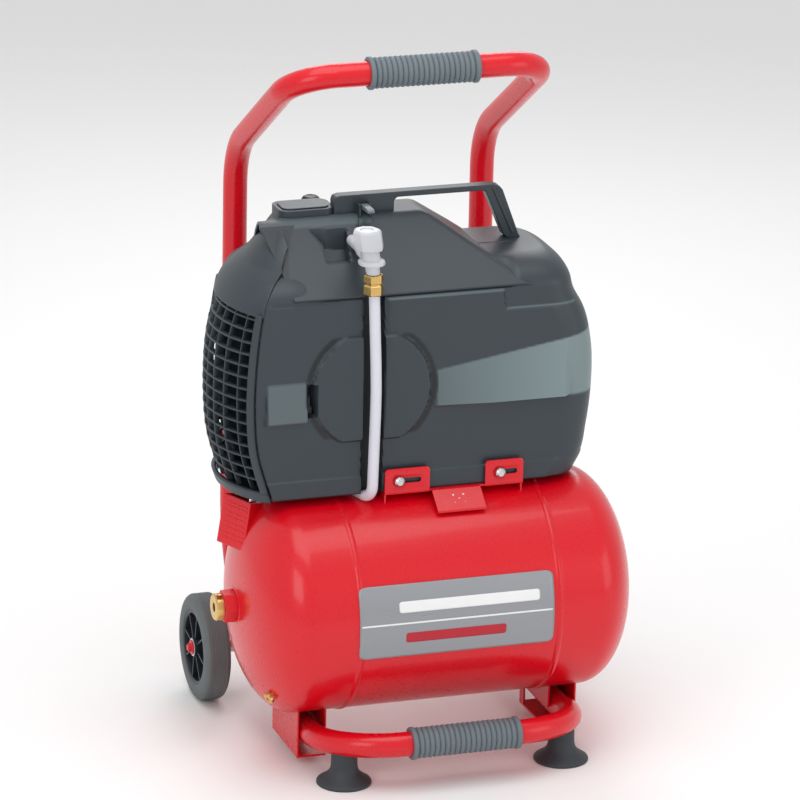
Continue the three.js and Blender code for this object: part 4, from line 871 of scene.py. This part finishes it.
def cover_height(x, y):
    """The lowest of a flat top and of slopes to the front, the right and the rear; at the
    left end an arch, like a visor's, cuts it; then the pocket and the seam are sunk."""
    z = least(COVER_TOP + 0 * x, SLOPE_LOW + SLOPE * (y - HOOD_FRONT), 5)
    z = least(z, COVER_TOP - 0.68 * (x - 4), 4)
    z = least(z, COVER_TOP - 1.5 * (y - 101), 8)
    off = np.abs(y - HOOD_MID)
    arch = 571 + 40 * np.cos(np.clip(off / 56, -1, 1) * np.pi / 2) ** 0.75 - 0.8 * np.clip(off - 56, 0, None)
    end = 1 - step(x, -172 + 0.1 * off, 34)
    z = z * (1 - end) + least(z, arch + 2 * end, 3) * end
    pocket = np.maximum(in_polygon(x, y, [(-124, 4), (-96, 3), (-90, 38), (-124, 39)]),
                        in_polygon(x, y, [(-123, 22), (-120, 39), (-134, 39)]))
    z = z - 22 * pocket
    seam = np.abs(x + 68 + 0.42 * (60 - y))
    return z - 1.4 * (1 - step(seam, 1.1, 1)) * between(y, 34, 110, 1) * (1 - pocket)


cover_x, cover_y = np.meshgrid(np.linspace(-190, 104, 236), np.linspace(HOOD_FRONT + 0.6, HOOD_REAR - 6, 130),
                               indexing="ij")
end_bow = 0.22 * np.abs(cover_y - HOOD_MID) * (1 - step(cover_x, -170, 40))
bowed_x = cover_x + end_bow
cover_z = cover_height(bowed_x, cover_y)
cover_mesh = skin(np.stack([bowed_x, cover_y, cover_z], -1), closed=False, capped=False)
# Painted light on the cover: painted shade over the front half of its left end, where the arch is, and a
# painted highlight on its flat top left of x = -60.
cover_painted_light = -0.5 * (1 - step(cover_x - 0.6 * (cover_y - 2) + 178, 2, 3)) * (cover_y < HOOD_MID)
cover_painted_light = cover_painted_light + 0.25 * step(cover_z, COVER_TOP - 6, 3) * (cover_x < -60)
cover = piece("cover", [cover_mesh], slate_painted_light, stands_for=["top_cover"], wall=3.0,
              mend=False, sharp=34)
set_painted_light(cover, cover_painted_light)


def rounded(low_x, high_x, low_y, high_y, r, steps=10):
    """The outline of a rectangle with round corners."""
    quarter = np.linspace(0, np.pi / 2, steps)
    corners = ((high_x - r, high_y - r, 0), (low_x + r, high_y - r, 1), (low_x + r, low_y + r, 2),
               (high_x - r, low_y + r, 3))
    return np.vstack([np.stack([x + r * np.cos(quarter + k * np.pi / 2),
                                y + r * np.sin(quarter + k * np.pi / 2)], -1) for x, y, k in corners])


piece("control_lid", [drawn(rounded(-162, -97, 56, 100, 13), "z", COVER_TOP - 1, COVER_TOP + 11),
                      drawn(rounded(-157, -102, 61, 95, 9), "z", COVER_TOP + 11, COVER_TOP + 12.6)],
      hood_slate, stands_for=["top_lid"], bevel=2.2)
knob_angle = np.linspace(0, 2 * np.pi, 96, endpoint=False)
knob_rows = []
for z, r, flute in ((-6, 10.6, 0), (1, 10.6, 0), (2, 10.9, 0.5), (9, 10.4, 0.5), (11.2, 9.0, 0.3),
                    (12.2, 7.2, 0), (11.6, 6.2, 0), (11.4, 0.4, 0)):
    reach = r - flute * (np.cos(knob_angle * 16) > 0.3)
    knob_rows.append(np.stack([-112 + reach * np.cos(knob_angle), 104 + reach * np.sin(knob_angle),
                               np.full_like(knob_angle, COVER_TOP + 0.3 + z)], -1))
piece("press_knob", [skin(knob_rows)], black_satin, "knob", ["switch_knob"], sharp=35)


# ---- Carry handle and vent lever ----
# A slate bar over a finger gap, moulded with its block and a slanted leg; a grey lever turns
# on a fork in front of it.

bar_outline = [(-99, 612.8), (-28, 612.8), (-28, 626), (-24.5, 629.8), (76, 629.8), (80.5, 628), (103, 576),
               (107, 572.5), (124, 571), (121, 576), (101, 629), (97, 634), (90, 636.3), (-92, 636.3),
               (-97.5, 634.5), (-99, 630)]
leg_ridge = [(87, 633), (90.5, 634.4), (115, 578), (112, 577)]
piece("carry_bar", [drawn(bar_outline, "y", 58.5, 73.5), drawn(leg_ridge, "y", 57.2, 60),
                    block((-73.5, 45.5, 612.8), (-70.8, 60, 628.5)),
                    block((-61.2, 45.5, 612.8), (-58.5, 60, 628.5))], hood_slate,
      stands_for=["carry_handle"], bevel=1.3)
pale_plastic = finish("pale plastic", (0.56, 0.57, 0.6), 0.35, mottle=0.08, patch=60, grain=900, depth=0.02)
lever_outline = [(24.5, 623.4), (50, 622.9), (52.6, 624), (52.9, 626.5), (50, 628), (30, 627.8), (24.3, 626)]
lever_grey = finish("grey lever plastic", (0.12, 0.15, 0.16), 0.38, mottle=0.08, patch=60, grain=900,
                    depth=0.02)
piece("lever_arm", [drawn(lever_outline, "x", -70.3, -61.7)], lever_grey, "lever",
      ["vent_lever"], bevel=0.9)


# ---- Suction connector and pipe ----
# A white moulded angle connector with an eight-sided cap, over a brass nut on a pale plastic pipe
# that runs down the hood's channel and turns back to the tank.

PIPE_X, PIPE_Y = -80.0, -45.0
NUT_TOP, LEAN = 576, 0.15
cap_profile = [(604.3, 0.5), (604.3, 14.5), (605.5, 16), (608, 16.6), (624, 16.6), (626.5, 15.6), (628, 13.2),
               (628, 8), (626.6, 7.4), (626.6, 0.5)]


def leaned(shape):
    """A shape moved to the left by a share of its height over the brass nut."""
    points, faces = shape
    return points - np.clip(points[:, 2:] - NUT_TOP, 0, None) * [LEAN, 0, 0], faces


piece("cap_nut", [leaned(turned(cap_profile, "z", (PIPE_X - 6, PIPE_Y, 0), 8))], pale_plastic,
      stands_for=["connector_cap"], bevel=1.2)
neck = [(576.2, 0.5), (576.2, 7.8), (583, 8.2), (586.5, 9), (587.5, 14.4), (588.2, 15), (591.2, 15),
        (592, 14.2), (593, 10.5), (603.6, 10), (603.6, 0.5)]
branch = [(PIPE_Y, 0.5), (PIPE_Y, 7.2), (-26, 7.2), (-25, 9), (-18, 9), (-17, 7.2), (20, 7), (20, 0.5)]
piece("connector", [leaned(turned(neck, "z", (PIPE_X - 5.5, PIPE_Y, 0), 48)),
                    leaned(turned(branch, "y", (PIPE_X - 6, 0, 595.5), 40))], pale_plastic,
      stands_for=["connector_body"], sharp=35)
nut_line = [(552, 7), (552, 10), (553.5, 11.6), (563, 11.6), (564.2, 10.2), (566, 10.2), (567, 11.6),
            (575, 11.6), (575.8, 10.6), (575.8, 7)]
piece("compression_nut", [turned(nut_line, "z", (PIPE_X - 5, PIPE_Y, 0), 6, loop=True)], brass_bright,
      stands_for=["pipe_nut"], bevel=0.5)
pipe_pale = finish("pale suction pipe", (0.66, 0.67, 0.74), 0.38, mottle=0.07, patch=30, grain=500,
                   depth=0.04)
pipe_line = bent([(PIPE_X - 4, PIPE_Y, 559), (PIPE_X + 1, PIPE_Y, 440), (PIPE_X - 2, PIPE_Y, 311.5),
                  (-103, 20.1, 313.5)], [900, 16], step=2)
piece("suction_pipe", [swept(pipe_line, 6.2, (1, 0.3, 0.1), sides=32, wall=1.2)], pipe_pale,
      stands_for=["pipe"])
gland_line = [(112, 0.5), (112, 9), (125.3, 9), (125.3, 12), (127, 13), (131, 13), (132, 12), (133, 11.4),
              (143, 10.4), (145, 9), (145, 4.5), (138, 4), (138, 0.5)]
piece("gland_nut", [turned(gland_line, "y", (60, 0, 365), 24)], black_satin,
      stands_for=["cable_gland"], bevel=0.4)


# ---- Pieces that keep the frame's own shape ----
# The motor pump inside the hood, the axle and its spacers, in their own metals.

cast = finish("cast alloy", (0.4, 0.41, 0.42), 0.5, metal=0.9, mottle=0.15, patch=40, grain=500, depth=0.08)
machined = finish("machined steel", (0.55, 0.55, 0.56), 0.3, metal=1.0, mottle=0.1, patch=80, grain=1500,
                  depth=0.01, stretch=(1, 12, 12))
winding = finish("varnished copper", (0.35, 0.12, 0.04), 0.35, metal=0.7, mottle=0.25, patch=60, grain=700,
                 depth=0.1, stretch=(8, 1, 1))
mount_black = finish("black mount rubber", (0.02, 0.02, 0.022), 0.65, mottle=0.2, patch=60, grain=700,
                     depth=0.05)
kept = {cast: ["motor_housing", "crankcase", "crankcase_cover", "connecting_rod", "piston", "cylinder",
               "cylinder_head"], machined: ["axle", "axle_spacer_left", "axle_spacer_right", "rotor_core",
                                            "motor_shaft", "crank_disc", "pump_base"], winding: ["stator"],
        mount_black: ["rubber_mount_1", "rubber_mount_2", "rubber_mount_3", "rubber_mount_4"],
        black_satin: ["cooling_fan", "vacuum_switch"], brass_bright: ["tank_inlet"],}
for material, names in kept.items():
    for node in names:
        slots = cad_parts[node].data.materials
        slots.clear()
        slots.append(material)


# ---- Floor, light and camera ----
# A plain pale floor under soft studio light, seen from the front and a little to the left.

floor_mat = finish("pale floor", (0.9, 0.9, 0.9), 0.6, mottle=0.02, patch=0.6, grain=60, depth=0.02)
FLOOR_HALF = 9000
floor_points = np.array([[x, y, 0] for y in (-FLOOR_HALF, FLOOR_HALF) for x in (-FLOOR_HALF, FLOOR_HALF)],
                        float).reshape(2, 2, 3)
floor = piece("floor", [skin(floor_points, closed=False, capped=False)], floor_mat, mend=False)


def soft_light(name, size, power, where, toward=(0, 0, 350)):
    """A square area light at a place, facing another."""
    light = bpy.data.lights.new(name, "AREA")
    light.size, light.energy = size, power
    obj = bpy.data.objects.new(name, light)
    bpy.context.scene.collection.objects.link(obj)
    place, target = (np.array(where, float) + ORIGIN) / 1000, (np.array(toward, float) + ORIGIN) / 1000
    back = (place - target) / np.linalg.norm(place - target)
    right = np.cross([0, 0, 1.0], back)
    right /= np.linalg.norm(right)
    aim(obj, place, right, np.cross(back, right), back)
    return obj


def aim(obj, place, right, up, back):
    """Stands an object at a place with its own axes along three directions."""
    matrix = np.eye(4)
    matrix[:3, 0], matrix[:3, 1], matrix[:3, 2], matrix[:3, 3] = right, up, back, place
    obj.matrix_world = mathutils.Matrix(matrix.tolist())


soft_light("overhead", 1.6, 15, (-200, -300, 2100))
soft_light("left_front", 1.2, 10, (-1900, -1500, 1300))
soft_light("right_front", 1.4, 8, (1700, -1900, 900))
soft_light("rear", 1.2, 12, (600, 1900, 1700))
world = bpy.data.worlds.new("studio")
bpy.context.scene.world = world
world.use_nodes = True
world.node_tree.nodes["Background"].inputs["Color"].default_value = (1, 1, 1, 1)
world.node_tree.nodes["Background"].inputs["Strength"].default_value = 0.74

azimuth, elevation, roll = (math.radians(v) for v in (-18.6, 18.67, 1.19))
view_back = np.array([math.sin(azimuth) * math.cos(elevation), -math.cos(azimuth) * math.cos(elevation),
                      math.sin(elevation)])
level_right = np.array([math.cos(azimuth), math.sin(azimuth), 0])
level_up = np.cross(view_back, level_right)
view_right = math.cos(roll) * level_right + math.sin(roll) * level_up
view_up = -math.sin(roll) * level_right + math.cos(roll) * level_up
eye = np.array([0, 0, 400.0]) - 34.15 * view_right + 6.66 * view_up + 6260.77 * view_back
camera_data = bpy.data.cameras.new("camera")
camera_data.lens, camera_data.sensor_width, camera_data.clip_end = 250.35, 36, 100
camera = bpy.data.objects.new("camera", camera_data)
bpy.context.scene.collection.objects.link(camera)
aim(camera, (eye + ORIGIN) / 1000, view_right, view_up, view_back)
bpy.context.scene.camera = camera
bpy.context.scene.view_settings.view_transform = "Standard"
